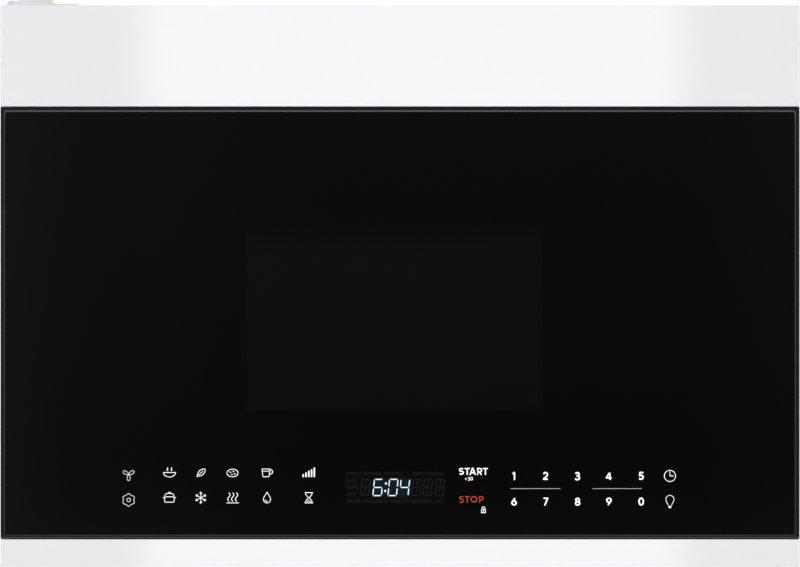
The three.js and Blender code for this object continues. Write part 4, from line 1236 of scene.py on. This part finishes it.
# ------------------------------------------------------------------ supply cord outlet: stepped moulding with a rubber bush
bm = bmesh.new()
g = at(0, 0, 426)
loft(bm, [(round_rect(-302.3, -246.4, -344.8, -305.2, 3), z) for z in (0.3, 2.6)] + [(round_rect(-301.9, -246.9, -344.3, -305.7, 2.6), 3.2)], g)
add_bead(bm, -290, -342.6, -250, -342.6, 2.4, 1.2, at(0, 0, 428.9))
add_bead(bm, -262, -307.4, -250, -307.4, 2.4, 1.2, at(0, 0, 428.9))
add_bead(bm, -248.7, -340, -248.7, -310, 2.4, 1.2, at(0, 0, 428.9))
loft(bm, [(round_rect(a, -292.4, -344.6 + d, -305.4 - d, 1.0, 4), z) for a, z, d in ((-302.3, 2.4, 0.0), (-302.2, 3.8, 0.2), (-300.9, 5.9, 0.5), (-300.3, 6.4, 1.0))], g)
loft(bm, [(round_rect(a, b, -344.6 + d, -305.4 - d, 1.4, 4), z) for a, b, z, d in (
    (-294.2, -265.0, 2.4, 0.0), (-294.1, -265.3, 4.2, 0.1), (-293.6, -268.6, 8.0, 0.4), (-293.3, -269.1, 11.0, 0.7), (-292.7, -269.8, 11.9, 1.4))], g)
tool = bmesh.new()
loft(tool, [(circle(-280, -325, 6.6, 32), 5.0), (circle(-280, -325, 6.6, 32), 14)], g)
loft(tool, [(circle(-280, -325, 4.9, 32), -1.0), (circle(-280, -325, 4.9, 32), 6)], g)
bm = carve(bm, tool)
gland = new_object("supply_cord_outlet", bm, MAT["outlet_plastic"], "chassis", angle=40)
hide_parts("power_cord_gland")
bm = bmesh.new()
add_lathe(bm, [(4.3, 1.0), (4.8, 1.0), (4.8, 5.2), (6.5, 5.2), (6.5, 12.4), (6.1, 13.2), (5.4, 13.4), (4.9, 13.0), (4.3, 12.0)], 40, at(-280, -325, 426))
new_object("supply_cord_bush", bm, MAT["black_plastic"], "chassis", angle=40)
screws("cord_outlet_screws", [(-257.5, -325, 429.2, "z")], "chassis", "steel", MAT["zinc"], r=2.6, h=0.9)

# ------------------------------------------------------------------ grease filters: layers of expanded mesh in the frame, and a lift ring
def expanded_mesh(bm, x0, x1, y0, y1, z, px_, py_, w, t, lift):
    """Zigzag strands that meet in diamonds; each strand twists a little up and down."""
    rows = int(round((y1 - y0) / py_))
    cols = int(round((x1 - x0) / (px_ / 2)))
    dx, dy = (x1 - x0) / cols, (y1 - y0) / rows
    for j in range(rows):
        yc = y0 + (j + 0.5) * dy
        ring_ = None
        for i in range(cols + 1):
            x = x0 + i * dx
            up = 1 if (i + j) % 2 else -1
            y = yc + up * dy * 0.46
            zz = z + up * lift
            q = [bm.verts.new((x * MM, (y + a) * MM, (zz + b - H2) * MM)) for a, b in ((-w / 2, -t / 2), (w / 2, -t / 2), (w / 2, t / 2), (-w / 2, t / 2))]
            if ring_:
                for k in range(4):
                    bm.faces.new((ring_[k], ring_[(k + 1) % 4], q[(k + 1) % 4], q[k]))
            else:
                bm.faces.new(list(reversed(q)))
            ring_ = q
        bm.faces.new(ring_)


for side, x0 in (("left", -274), ("right", 126)):
    bm = bmesh.new()
    expanded_mesh(bm, x0 + 7.6, x0 + 140.4, -258.4, -61.6, 0.9, 10.4, 4.9, 0.95, 0.4, 0.3)
    expanded_mesh(bm, x0 + 7.6, x0 + 140.4, -258.4, -61.6, 2.0, 7.0, 3.7, 0.7, 0.3, 0.2)
    expanded_mesh(bm, x0 + 7.6, x0 + 140.4, -258.4, -61.6, 5.3, 10.4, 4.9, 0.95, 0.35, 0.25)
    expanded_mesh(bm, x0 + 7.6, x0 + 140.4, -258.4, -61.6, 4.4, 7.0, 3.7, 0.7, 0.3, 0.2)
    new_object("filter_mesh_" + side, bm, MAT["mesh_aluminium"], side + "_filter", smooth=False)
    # dark sheets on the filter's solid core under the mesh layers: painted shade between the strands
    for name, z, turn in (("upper", 3.8, 1), ("lower", 2.6, -1)):
        plane_plate("filter_pad_%s_%s" % (name, side), [round_rect(x0 + 8.3, x0 + 139.7, -257.7 if turn > 0 else 62.3, -62.3 if turn > 0 else 257.7, 0.8)], 0.15,
                    at(0, 0, z, "z" if turn > 0 else "-z"), MAT["filter_painted_shade_pad"], side + "_filter")
    bm = bmesh.new()
    # stiffening edge bead of the folded frame, and the lift ring with its plate
    m = at(0, 0, 0.3, "-z")
    for ax, ay, bx, by in ((x0 + 10, 58, x0 + 138, 58), (x0 + 10, 262, x0 + 138, 262), (x0 + 4, 64, x0 + 4, 256), (x0 + 144, 64, x0 + 144, 256)):
        add_bead(bm, ax, ay, bx, by, 3.2, 0.55, m, 0.2)
    cx = x0 + 74
    loft(bm, [(round_rect(cx - 13, cx + 13, 240, 258.6, 2), h) for h in (-1.4, 0.1)] + [(round_rect(cx - 12.6, cx + 12.6, 240.4, 258.2, 1.8), 0.5)], m)
    pts = [Vector(((cx + 8.2 * math.cos(t)) * MM, (-247.5 + 6.2 * math.sin(t)) * MM, (-0.9 - H2) * MM)) for t in np.linspace(0, 2 * math.pi, 36, endpoint=False)]
    sweep(bm, pts, 0.85 * MM, 8, True)
    for s in (-1, 1):
        add_box(bm, cx + s * 8.2 - 1.5, cx + s * 8.2 + 1.5, -249.3, -245.7, -1.9, 0.0, 0.5)
    new_object("filter_ring_" + side, bm, MAT["aluminium"], side + "_filter", angle=50)

# ------------------------------------------------------------------ cooktop lamp lens: prism ribs
bm = bmesh.new()
for i in range(34):
    x = -37.95 + 2.3 * i
    loft(bm, [([(x - 1.05, 299.5), (x + 1.05, 299.5), (x + 1.05, 338.5), (x - 1.05, 338.5)], -0.5),
              ([(x - 1.05, 299.5), (x + 1.05, 299.5), (x + 1.05, 338.5), (x - 1.05, 338.5)], 0.0),
              ([(x - 0.2, 300.2), (x + 0.2, 300.2), (x + 0.2, 337.8), (x - 0.2, 337.8)], 0.75)], at(0, 0, 0.2, "-z"))
new_object("lamp_lens_ribs", bm, MAT["lamp_lens"], "chassis", smooth=False)

# ------------------------------------------------------------------ oven cavity: drawn corners, stamped floor, screens and fixings
CX0, CX1, CY0, CY1, CZ0, CZ1 = -272, 150, -348.4, -15, 88, 322


def cove_section(r, n=7):
    """Inside corner at the origin filled by a concave quarter round: (u, v) both 0..r, sunk 0.15 into the walls."""
    e = -0.15
    arcp = [(r - r * math.cos(math.radians(90 * k / n)), r - r * math.sin(math.radians(90 * k / n))) for k in range(n + 1)]
    return [(e, e), (r, e)] + [(r - r * math.sin(math.radians(90 * k / n)), r - r * math.cos(math.radians(90 * k / n))) for k in range(n + 1)] + [(e, r)]


def add_prism(bm, section, to3d, a, b):
    """Extrudes a section of (u, v) mm between a and b; to3d(u, v, t) gives the point in mm."""
    n = len(section)
    A = [bm.verts.new([c * MM for c in to3d(u, v, a)]) for u, v in section]
    B = [bm.verts.new([c * MM for c in to3d(u, v, b)]) for u, v in section]
    for i in range(n):
        bm.faces.new((A[i], A[(i + 1) % n], B[(i + 1) % n], B[i]))
    bm.faces.new(list(reversed(A)))
    bm.faces.new(B)


bm = bmesh.new()
sec = cove_section(7.0)
for x, sx in ((CX0, 1), (CX1, -1)):
    for z, sz in ((CZ0, 1), (CZ1, -1)):
        add_prism(bm, sec, lambda u, v, t, x=x, sx=sx, z=z, sz=sz: (x + sx * u, t, z + sz * v - H2), CY0, CY1 + 0.1)
for z, sz in ((CZ0, 1), (CZ1, -1)):
    add_prism(bm, sec, lambda u, v, t, z=z, sz=sz: (t, CY1 - u, z + sz * v - H2), CX0 - 0.1, CX1 + 0.1)
for x, sx in ((CX0, 1), (CX1, -1)):
    add_prism(bm, sec, lambda u, v, t, x=x, sx=sx: (x + sx * u, CY1 - v, t - H2), CZ0 - 0.1, CZ1 + 0.1)
new_object("cavity_corner_coves", bm, MAT["grey_enamel"], "chassis", angle=30)
bm = bmesh.new()
add_stamped_ring(bm, -61, -180, 88, 128, 9, 1.5, 128)
add_stamped_ring(bm, -61, -180, 88, 44, 7, 1.1, 72)
# rolled rim where the floor drops at the mouth
add_bead(bm, CX0 + 16, -338, CX1 - 16, -338, 6, 0.8, at(0, 0, 88))
new_object("cavity_floor_stamping", bm, MAT["grey_enamel"], "chassis", angle=50)
bm = bmesh.new()
for z0, z1, n_ in ((140, 290, 1),):
    for x in (-200, -61, 78):
        add_bead(bm, x, z0, x, z1, 12, 1.4, at(0, -15, 0, "-y"))
new_object("cavity_back_beads", bm, MAT["grey_enamel"], "chassis", angle=75)

RIGHT_WALL = at(150, 0, 0, "-x")          # local (x, y) is (Z, Y)
holes = hex_holes(lambda a, b: math.hypot(a - 292, b + 292) < 9.2, 282, 302, -302, -282, 3.6, 1.15)
plane_plate("lamp_port_screen", [circle(292, -292, 15.5, 48)] + holes, 0.6, RIGHT_WALL, MAT["grey_enamel"], "chassis")
plane_plate("lamp_port_dark", [circle(292, -292, 12.0, 32)], 0.12, RIGHT_WALL, MAT["lamp_glow"], "chassis")
holes = hex_holes(lambda a, b: True, 236, 262, -328, -268, 4.4, 1.35)
plane_plate("air_inlet_screen", [round_rect(231, 267.5, -333, -262, 4)] + holes, 0.6, RIGHT_WALL, MAT["grey_enamel"], "chassis")
# a near-black sheet under the screen: painted shade in its holes
plane_plate("air_inlet_painted_shade", [round_rect(233, 265.5, -331, -264, 3)], 0.12, RIGHT_WALL, PAINTED_SHADE, "chassis")
ROOF = at(0, 0, 322, "-z")                # local (x, y) is (X, -Y)
holes = hex_holes(lambda a, b: True, -244, -184, 38, 84, 4.4, 1.35)
plane_plate("steam_outlet_screen", [round_rect(-250, -177, 33, 88, 4)] + holes, 0.6, ROOF, MAT["grey_enamel"], "chassis")
# a near-black sheet under the screen: painted shade in its holes
plane_plate("steam_outlet_painted_shade", [round_rect(-248, -179, 35, 86, 3)], 0.12, ROOF, PAINTED_SHADE, "chassis")
bm = bmesh.new()
for y, z in ((-230, 239), (-140, 239), (-185, 186)):
    add_lathe(bm, [(0, -0.4), (4.2, -0.4), (4.2, 0.5), (3.6, 1.1), (2.0, 1.5), (0, 1.6)], 28, at(148.7, y, z, "-x"))
new_object("mica_cover_buttons", bm, MAT["white_plastic"], "chassis", angle=50)

# ------------------------------------------------------------------ glass tray, roller ring, rollers and coupler
TX, TY = -61, -180
bm = bmesh.new()
prof = [(0, 105.4), (27, 105.4), (28, 105.0), (140, 105.0), (147, 105.2), (151, 106.9), (154.6, 109.8), (156.8, 112.3), (157.4, 114.2), (157.2, 115.5),
        (156.3, 116.0), (155.1, 115.7), (153.6, 114.4), (151.4, 112.0), (148.9, 110.3), (145.8, 109.5)]
for r in (118, 90, 62, 34):
    prof += [(r + 2.4, 109.5), (r + 1.0, 109.95), (r - 1.0, 109.95), (r - 2.4, 109.5)]
prof += [(0, 109.5)]
add_lathe(bm, [(r, z) for r, z in prof], 144, at(TX, TY, 0))
for i in range(3):
    a = 2 * math.pi * i / 3 + math.pi / 6
    m = at(TX, TY, 0) @ Matrix.Rotation(a, 4, "Z")
    loft(bm, [(round_rect(15.6, 22.4, -2.8, 2.8, 1.4), 99.6), (round_rect(14.9, 23.1, -3.6, 3.6, 1.8), 100.6), (round_rect(14.6, 23.4, -3.9, 3.9, 1.6), 105.3)], m)
tray = new_object("tray_glass", bm, MAT["clear_glass"], "tray", angle=40)
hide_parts("glass_turntable")

bm = bmesh.new()
add_lathe(bm, [(87.0, 93.4), (87.9, 92.5), (94.1, 92.5), (95.0, 93.4), (95.0, 99.1), (94.1, 100.0), (92.6, 100.0), (92.2, 98.8), (89.8, 98.8), (89.4, 100.0), (87.9, 100.0), (87.0, 99.1)], 128, at(TX, TY, 0))
ring_z = 96.3
for i in range(3):
    a = 2 * math.pi * i / 3 - math.pi / 2
    m = at(TX, TY, ring_z) @ Matrix.Rotation(a, 4, "Z") @ Matrix.Rotation(math.pi / 2, 4, "Y")
    add_lathe(bm, [(0, 93), (2.0, 93), (2.0, 108.7), (3.5, 108.9), (3.6, 109.6), (3.0, 110.0), (0, 110.0)], 28, m)
    add_lathe(bm, [(0, 94.2), (3.6, 94.2), (3.6, 97.6), (3.0, 98.6), (0, 98.6)], 28, m)
    base = at(TX, TY, 0) @ Matrix.Rotation(a, 4, "Z")
    loft(bm, [(round_rect(88.2, 97.4, -5.2, 5.2, 1.6), z) for z in (92.8, 99.2)], base)
ring_ = new_object("roller_hoop", bm, MAT["white_plastic"], "ring", angle=40)
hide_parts("roller_ring")
for i, body in enumerate(("roller_a", "roller_b", "roller_c")):
    a = 2 * math.pi * i / 3 - math.pi / 2
    m = at(TX, TY, ring_z) @ Matrix.Rotation(a, 4, "Z") @ Matrix.Rotation(math.pi / 2, 4, "Y")
    bm = bmesh.new()
    add_lathe(bm, [(2.4, 100.6), (3.6, 100.6), (4.2, 101.2), (6.0, 101.2), (6.6, 100.6), (7.3, 100.7), (8.0, 101.4), (8.0, 106.6), (7.3, 107.3), (6.6, 107.4),
                   (6.0, 106.8), (4.2, 106.8), (3.6, 107.4), (2.4, 107.4)], 56, m)
    for k in range(6):
        t = math.pi / 3 * k
        loft(bm, [(stadium(4.3 * math.cos(t), 4.3 * math.sin(t), 6.1 * math.cos(t), 6.1 * math.sin(t), 0.35, 4), z) for z in (100.9, 107.1)], m)
    wheel = new_object("roller_wheel_" + body[-1], bm, MAT["white_plastic"], body, angle=40)
    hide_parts("roller_%d" % (i + 1))
bm = bmesh.new()
add_lathe(bm, [(0, 78), (3.5, 78), (3.5, 89.5), (8.4, 89.5), (9.0, 90.1), (9.0, 103.0), (8.2, 103.8), (0, 103.8)], 48, at(TX, TY, 0))
for i in range(3):
    a = 2 * math.pi * i / 3 + math.pi / 2
    m = at(TX, TY, 0) @ Matrix.Rotation(a, 4, "Z")
    loft(bm, [(round_rect(2.4, 23.6, -3.1, 3.1, 2.6), 97.8), (round_rect(2.0, 24.0, -3.5, 3.5, 2.9), 98.3), (round_rect(2.0, 24.0, -3.5, 3.5, 2.9), 103.1),
              (round_rect(2.6, 23.4, -2.9, 2.9, 2.4), 103.8)], m)
coupler = new_object("coupler_three_arm", bm, MAT["white_plastic"], "coupler", angle=40)
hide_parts("turntable_coupler")

# ------------------------------------------------------------------ damper bead, collar rivets
bm = bmesh.new()
add_bead(bm, -108, -100, 108, -100, 9, 1.2, at(0, 0, 431.5))
new_object("damper_bead", bm, MAT["galvanised"], "damper", angle=75)
bm = bmesh.new()
for x in (-120, 120):
    for y, ax in ((-142, "-y"), (-58, "y")):
        add_lathe(bm, [(0, -0.3), (2.4, -0.3), (2.3, 0.4), (1.5, 1.0), (0, 1.2)], 20, at(x, y, 436, ax))
new_object("collar_rivets", bm, MAT["aluminium"], "chassis", angle=60)

# ------------------------------------------------------------------ latch spring: a coil with closed end turns
bm = bmesh.new()
pts = []
turns, r, low, high = 8.0, 3.4, 319.25, 342.75
for i in range(int(turns * 20) + 1):
    t = i / 20.0
    if t < 1:
        u = 1.25 * t
    elif t > turns - 1:
        u = high - low - 1.25 * (turns - t)
    else:
        u = 1.25 + (high - low - 2.5) * (t - 1) / (turns - 2)
    pts.append(((268 + r * math.cos(2 * math.pi * t)) * MM, (-377 + r * math.sin(2 * math.pi * t)) * MM, (low + u - H2) * MM))
sweep(bm, pts, 0.55 * MM, 10)
coil = new_object("latch_spring_coil", bm, MAT["steel"], "door", angle=60)
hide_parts("latch_spring")
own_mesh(coil)

# ------------------------------------------------------------------ inside of the door: ribs of the choke cover and a raised rim of the window
def frame_rib(bm, x0, x1, z0, z1, width, height, y, r=4):
    """A raised rectangular rib on a plane that faces +Y."""
    sec_ = [(-width / 2, y - 0.2), (width / 2, y - 0.2), (width / 2, y + height * 0.5), (width * 0.3, y + height), (-width * 0.3, y + height), (-width / 2, y + height * 0.5)]
    path = []
    for cx, cz, a0 in ((x1 - r, z1 - r, 0), (x0 + r, z1 - r, 90), (x0 + r, z0 + r, 180), (x1 - r, z0 + r, 270)):
        for k in range(7):
            a = math.radians(a0 + 15 * k)
            path.append((cx, cz, math.cos(a), math.sin(a)))
    rings = [[bm.verts.new(((cx + (r + o) * ux) * MM, yy * MM, (cz + (r + o) * uz - H2) * MM)) for o, yy in sec_] for cx, cz, ux, uz in path]
    n, k = len(rings), len(sec_)
    for i in range(n):
        a, b = rings[i], rings[(i + 1) % n]
        for j in range(k):
            bm.faces.new((a[j], a[(j + 1) % k], b[(j + 1) % k], b[j]))


bm = bmesh.new()
frame_rib(bm, -289, 167, 71, 337, 2.0, 0.7, -353.2)
frame_rib(bm, -274, 152, 86, 324, 1.6, 0.5, -353.2)
new_object("choke_cover_ribs", bm, MAT["black_plastic"], "door", angle=40)
bm = bmesh.new()
for z in (190, 215, 240):
    add_box(bm, 196, 258, -353.9, -353.1, z - 1.2, z + 1.2, 0.35)
new_object("rear_cover_ribs", bm, MAT["black_plastic"], "door", angle=40)

# ------------------------------------------------------------------ moulded rim of the finger pull in the side of the frame
bm = bmesh.new()
sec_ = [(-0.7, 289.2), (-0.7, 302.9), (-0.45, 303.38), (0.1, 303.62), (0.9, 303.62), (1.42, 303.38), (1.6, 302.8), (0.15, 302.8), (0.15, 289.2)]
pull_r, rings = 3.2, []
for cy, cz, a0 in ((-358.5 - pull_r, 231 - pull_r, 0), (-381.5 + pull_r, 231 - pull_r, 90), (-381.5 + pull_r, 149 + pull_r, 180), (-358.5 - pull_r, 149 + pull_r, 270)):
    for k in range(7):
        a = math.radians(a0 + 15 * k)
        rings.append([bm.verts.new((x * MM, (cy + (pull_r + o) * math.cos(a)) * MM, (cz + (pull_r + o) * math.sin(a) - H2) * MM)) for o, x in sec_])
for i in range(len(rings)):
    a, b = rings[i], rings[(i + 1) % len(rings)]
    for j in range(len(sec_)):
        bm.faces.new((a[j], a[(j + 1) % len(sec_)], b[(j + 1) % len(sec_)], b[j]))
new_object("finger_pull_rim", bm, MAT["charcoal_plastic"], "door", angle=40)

# ------------------------------------------------------------------ lip of the frame round the glass
def rect_sweep(bm, x0, x1, z0, z1, section, corner=1.2, steps=5):
    """Runs a closed section of (outward, y) mm points round a rectangle in the XZ plane with rounded corners.
    The section is at its full width along the upper side only."""
    path = []
    for cx, cz, a0 in ((x1 - corner, z1 - corner, 0), (x0 + corner, z1 - corner, 90), (x0 + corner, z0 + corner, 180), (x1 - corner, z0 + corner, 270)):
        for k in range(steps + 1):
            a = math.radians(a0 + 90 * k / steps)
            path.append((cx, cz, math.cos(a), math.sin(a)))
    rings = []
    for cx, cz, ux, uz in path:
        w = 0.66 + 0.34 * max(0.0, uz) ** 2
        rings.append([bm.verts.new(((cx + (corner + o * w) * ux) * MM, y * MM, (cz + (corner + o * w) * uz - H2) * MM)) for o, y in section])
    n, k = len(rings), len(section)
    for i in range(n):
        a, b = rings[i], rings[(i + 1) % n]
        for j in range(k):
            bm.faces.new((a[j], a[(j + 1) % k], b[(j + 1) % k], b[j]))


# the lip strip carries a painted highlight, brightest along the top
bm = bmesh.new()
rect_sweep(bm, -299.6, 299.3, 24.25, 345.15, [(0.0, -390.3), (1.3, -390.3), (1.3, -390.98), (1.08, -391.16), (0.74, -391.24), (0.4, -391.2), (0.12, -391.0), (0.0, -390.7)])
new_object("frame_lip", bm, LIP_PAINTED_HIGHLIGHT, "door", angle=60)
# a raised near-black strip on the frame face beside the lip: painted shadow line
bm = bmesh.new()
rect_sweep(bm, -299.6, 299.3, 24.25, 345.15, [(1.34, -390.6), (2.1, -390.6), (2.1, -391.04), (1.34, -391.04)])
new_object("lip_painted_shadow_line", bm, PAINTED_SHADE, "door", angle=60)
# a lighter strip along the frame's lower edge: painted highlight
bm = bmesh.new()
add_box(bm, -302.4, 302.4, -391.14, -390.7, 22.05, 22.8, 0.12)
new_object("frame_lower_edge_painted_highlight", bm, PAINTED_EDGE_HIGHLIGHT, "door", angle=60)

# ------------------------------------------------------------------ posts of the boards and rails of the charcoal filter
bm = bmesh.new()
for x, y in ((-288.9, -341.9), (-288.9, -295.4), (-214.9, -342.2), (-214.9, -295.4)):
    add_lathe(bm, [(0, 0), (2.3, 0), (2.3, 31.2), (0, 31.2)], 6, at(x, y, 393.7))
new_object("noise_filter_posts", bm, MAT["zinc"], "chassis")
screws("noise_filter_screws", [(x, y, 392, "-z") for x, y in ((-288.9, -341.9), (-288.9, -295.4), (-214.9, -342.2), (-214.9, -295.4))],
       "chassis", "steel", MAT["zinc"], r=2.4, h=1.3)
bm = bmesh.new()
for y in (-301.6, -208.4):
    for z in (153.4, 286.6):
        add_lathe(bm, [(0, 0), (2.7, 0), (2.7, 4.1), (0, 4.1)], 6, at(298.05, y, z, "x"))
new_object("power_board_posts", bm, MAT["zinc"], "chassis")
screws("power_board_screws", [(296.4, y, z, "-x") for y in (-301.6, -208.4) for z in (153.4, 286.6)], "chassis", "steel", MAT["zinc"], r=2.4, h=1.3)
bm = bmesh.new()
for z0, z1, a, b, foot in ((417.3, 418.1, 412.2, 418.1, (424.3, 425.1)), (355.9, 356.7, 355.9, 361.8, (322.9, 323.7))):
    add_box(bm, -192, 192, -348, -334, z0, z1, 0.15)
    add_box(bm, -192, 192, -348, -347.3, a, b, 0.15)
    add_box(bm, -192, 192, -334.7, -334, a, b, 0.15)
    for x in (-150, 0, 120):
        add_box(bm, x - 9, x + 9, -341.5, -340.7, min(z0 + 0.1, foot[0]), max(z1 - 0.1, foot[1]), 0.1)
        add_box(bm, x - 9, x + 9, -341.5, -329.5, foot[0], foot[1], 0.15)
new_object("charcoal_filter_rails", bm, MAT["galvanised"], "chassis")

# ------------------------------------------------------------------ flanges of the fan shroud and ring of the cavity lamp
bm = bmesh.new()
add_box(bm, 299.9, 302.1, -118, -116.7, 170, 298, 0.1)
add_box(bm, 301.3, 302.1, -118, -104, 170, 298, 0.15)
add_box(bm, 150.9, 155.1, -118, -116.7, 170, 298, 0.1)
add_box(bm, 150.9, 151.7, -118, -104, 170, 298, 0.15)
new_object("fan_shroud_flanges", bm, MAT["galvanised"], "chassis")
bm = bmesh.new()
add_lathe(bm, [(7, 0), (15.5, 0), (15.5, 1.05), (7, 1.05)], 48, at(150.9, -292, 292, "x"))
new_object("cavity_lamp_ring", bm, MAT["zinc"], "chassis")

# ------------------------------------------------------------------ edges of the CAD pieces
for node, w in (
    ("outer_case", 0.9), ("top_vent_panel", 0.5), ("bottom_trim", 0.4), ("base_plate", 0.4), ("back_panel", 0.25), 
    ("exhaust_adaptor", 0.25), ("damper_flap", 0.2), ("door_glass", 0.7), ("door_frame", 0.2), ("door_inner_panel", 0.3),
    ("door_choke_cover", 0.4), ("door_rear_cover", 0.4), ("door_latch_hooks", 0.4), ("cavity_box", 0.25), ("cavity_front_plate", 0.2),
    ("hinge_bracket_upper", 0.3), ("hinge_bracket_lower", 0.3), ("latch_board", 0.3), ("cooktop_lamp_lens", 0.5),
):
    soften(node, w)

# ------------------------------------------------------------------ stage
bm = bmesh.new()
R = 14.0
n = 64
vs = [bm.verts.new((R * math.cos(2 * math.pi * i / n), R * math.sin(2 * math.pi * i / n), -1.55)) for i in range(n)]
bm.faces.new(vs)
me = bpy.data.meshes.new("floor")
bm.to_mesh(me)
bm.free()
floor = bpy.data.objects.new("floor", me)
scene.collection.objects.link(floor)
fm = Mat("pale_floor", (0.86, 0.86, 0.865), 0.9)
fm.b.inputs["Emission Color"].default_value = (0.98, 0.985, 1, 1)
fm.b.inputs["Emission Strength"].default_value = 0.4
me.materials.append(fm.m)
floor.visible_glossy = False

# a dark card behind the camera, seen only in reflections, as in any picture of black glass
bm = bmesh.new()
for q in ((-4.5, -1.5), (4.5, -1.5), (4.5, 3.2), (-4.5, 3.2)):
    bm.verts.new((q[0], -6.4, q[1]))
bm.faces.new(bm.verts)
me = bpy.data.meshes.new("dark_card")
bm.to_mesh(me)
bm.free()
card = bpy.data.objects.new("dark_card", me)
scene.collection.objects.link(card)
cm = Mat("dark_card", (0, 0, 0), 1.0)
CARD = 2.717 / (1 + 6.01 / FAR)
cm.b.inputs["Specular IOR Level"].default_value = 0
cx_, _, cz_ = cm.xyz()
cx_, cz_ = cm.math("MULTIPLY", cx_, CARD), cm.math("MULTIPLY", cz_, CARD)
upper = cm.remap(cz_, -0.36, 0.36, 0.026, 0.066, "LINEAR")
lower = cm.remap(cz_, -0.52, -0.4, 0.022, 0.0)
left_ = cm.math("MULTIPLY", cm.remap(cx_, -0.86, -0.05, 1, 0), 0.052)
right_ = cm.math("MULTIPLY", cm.remap(cx_, 0.5, 0.86, 0, 1), 0.036)
edge_l = cm.math("MULTIPLY", cm.remap(cx_, -0.84, -0.66, 1, 0), 0.045)
g = cm.math("ADD", cm.math("ADD", upper, lower), cm.math("ADD", cm.math("ADD", left_, right_), edge_l))
gg = cm.node("ShaderNodeCombineColor")
for i in range(3):
    cm.l.new(g, gg.inputs[i])
cm.l.new(gg.outputs[0], cm.b.inputs["Emission Color"])
cm.b.inputs["Emission Strength"].default_value = 1.0
me.materials.append(cm.m)
card.visible_camera = False
card.visible_diffuse = False
card.visible_shadow = False
card.visible_transmission = False
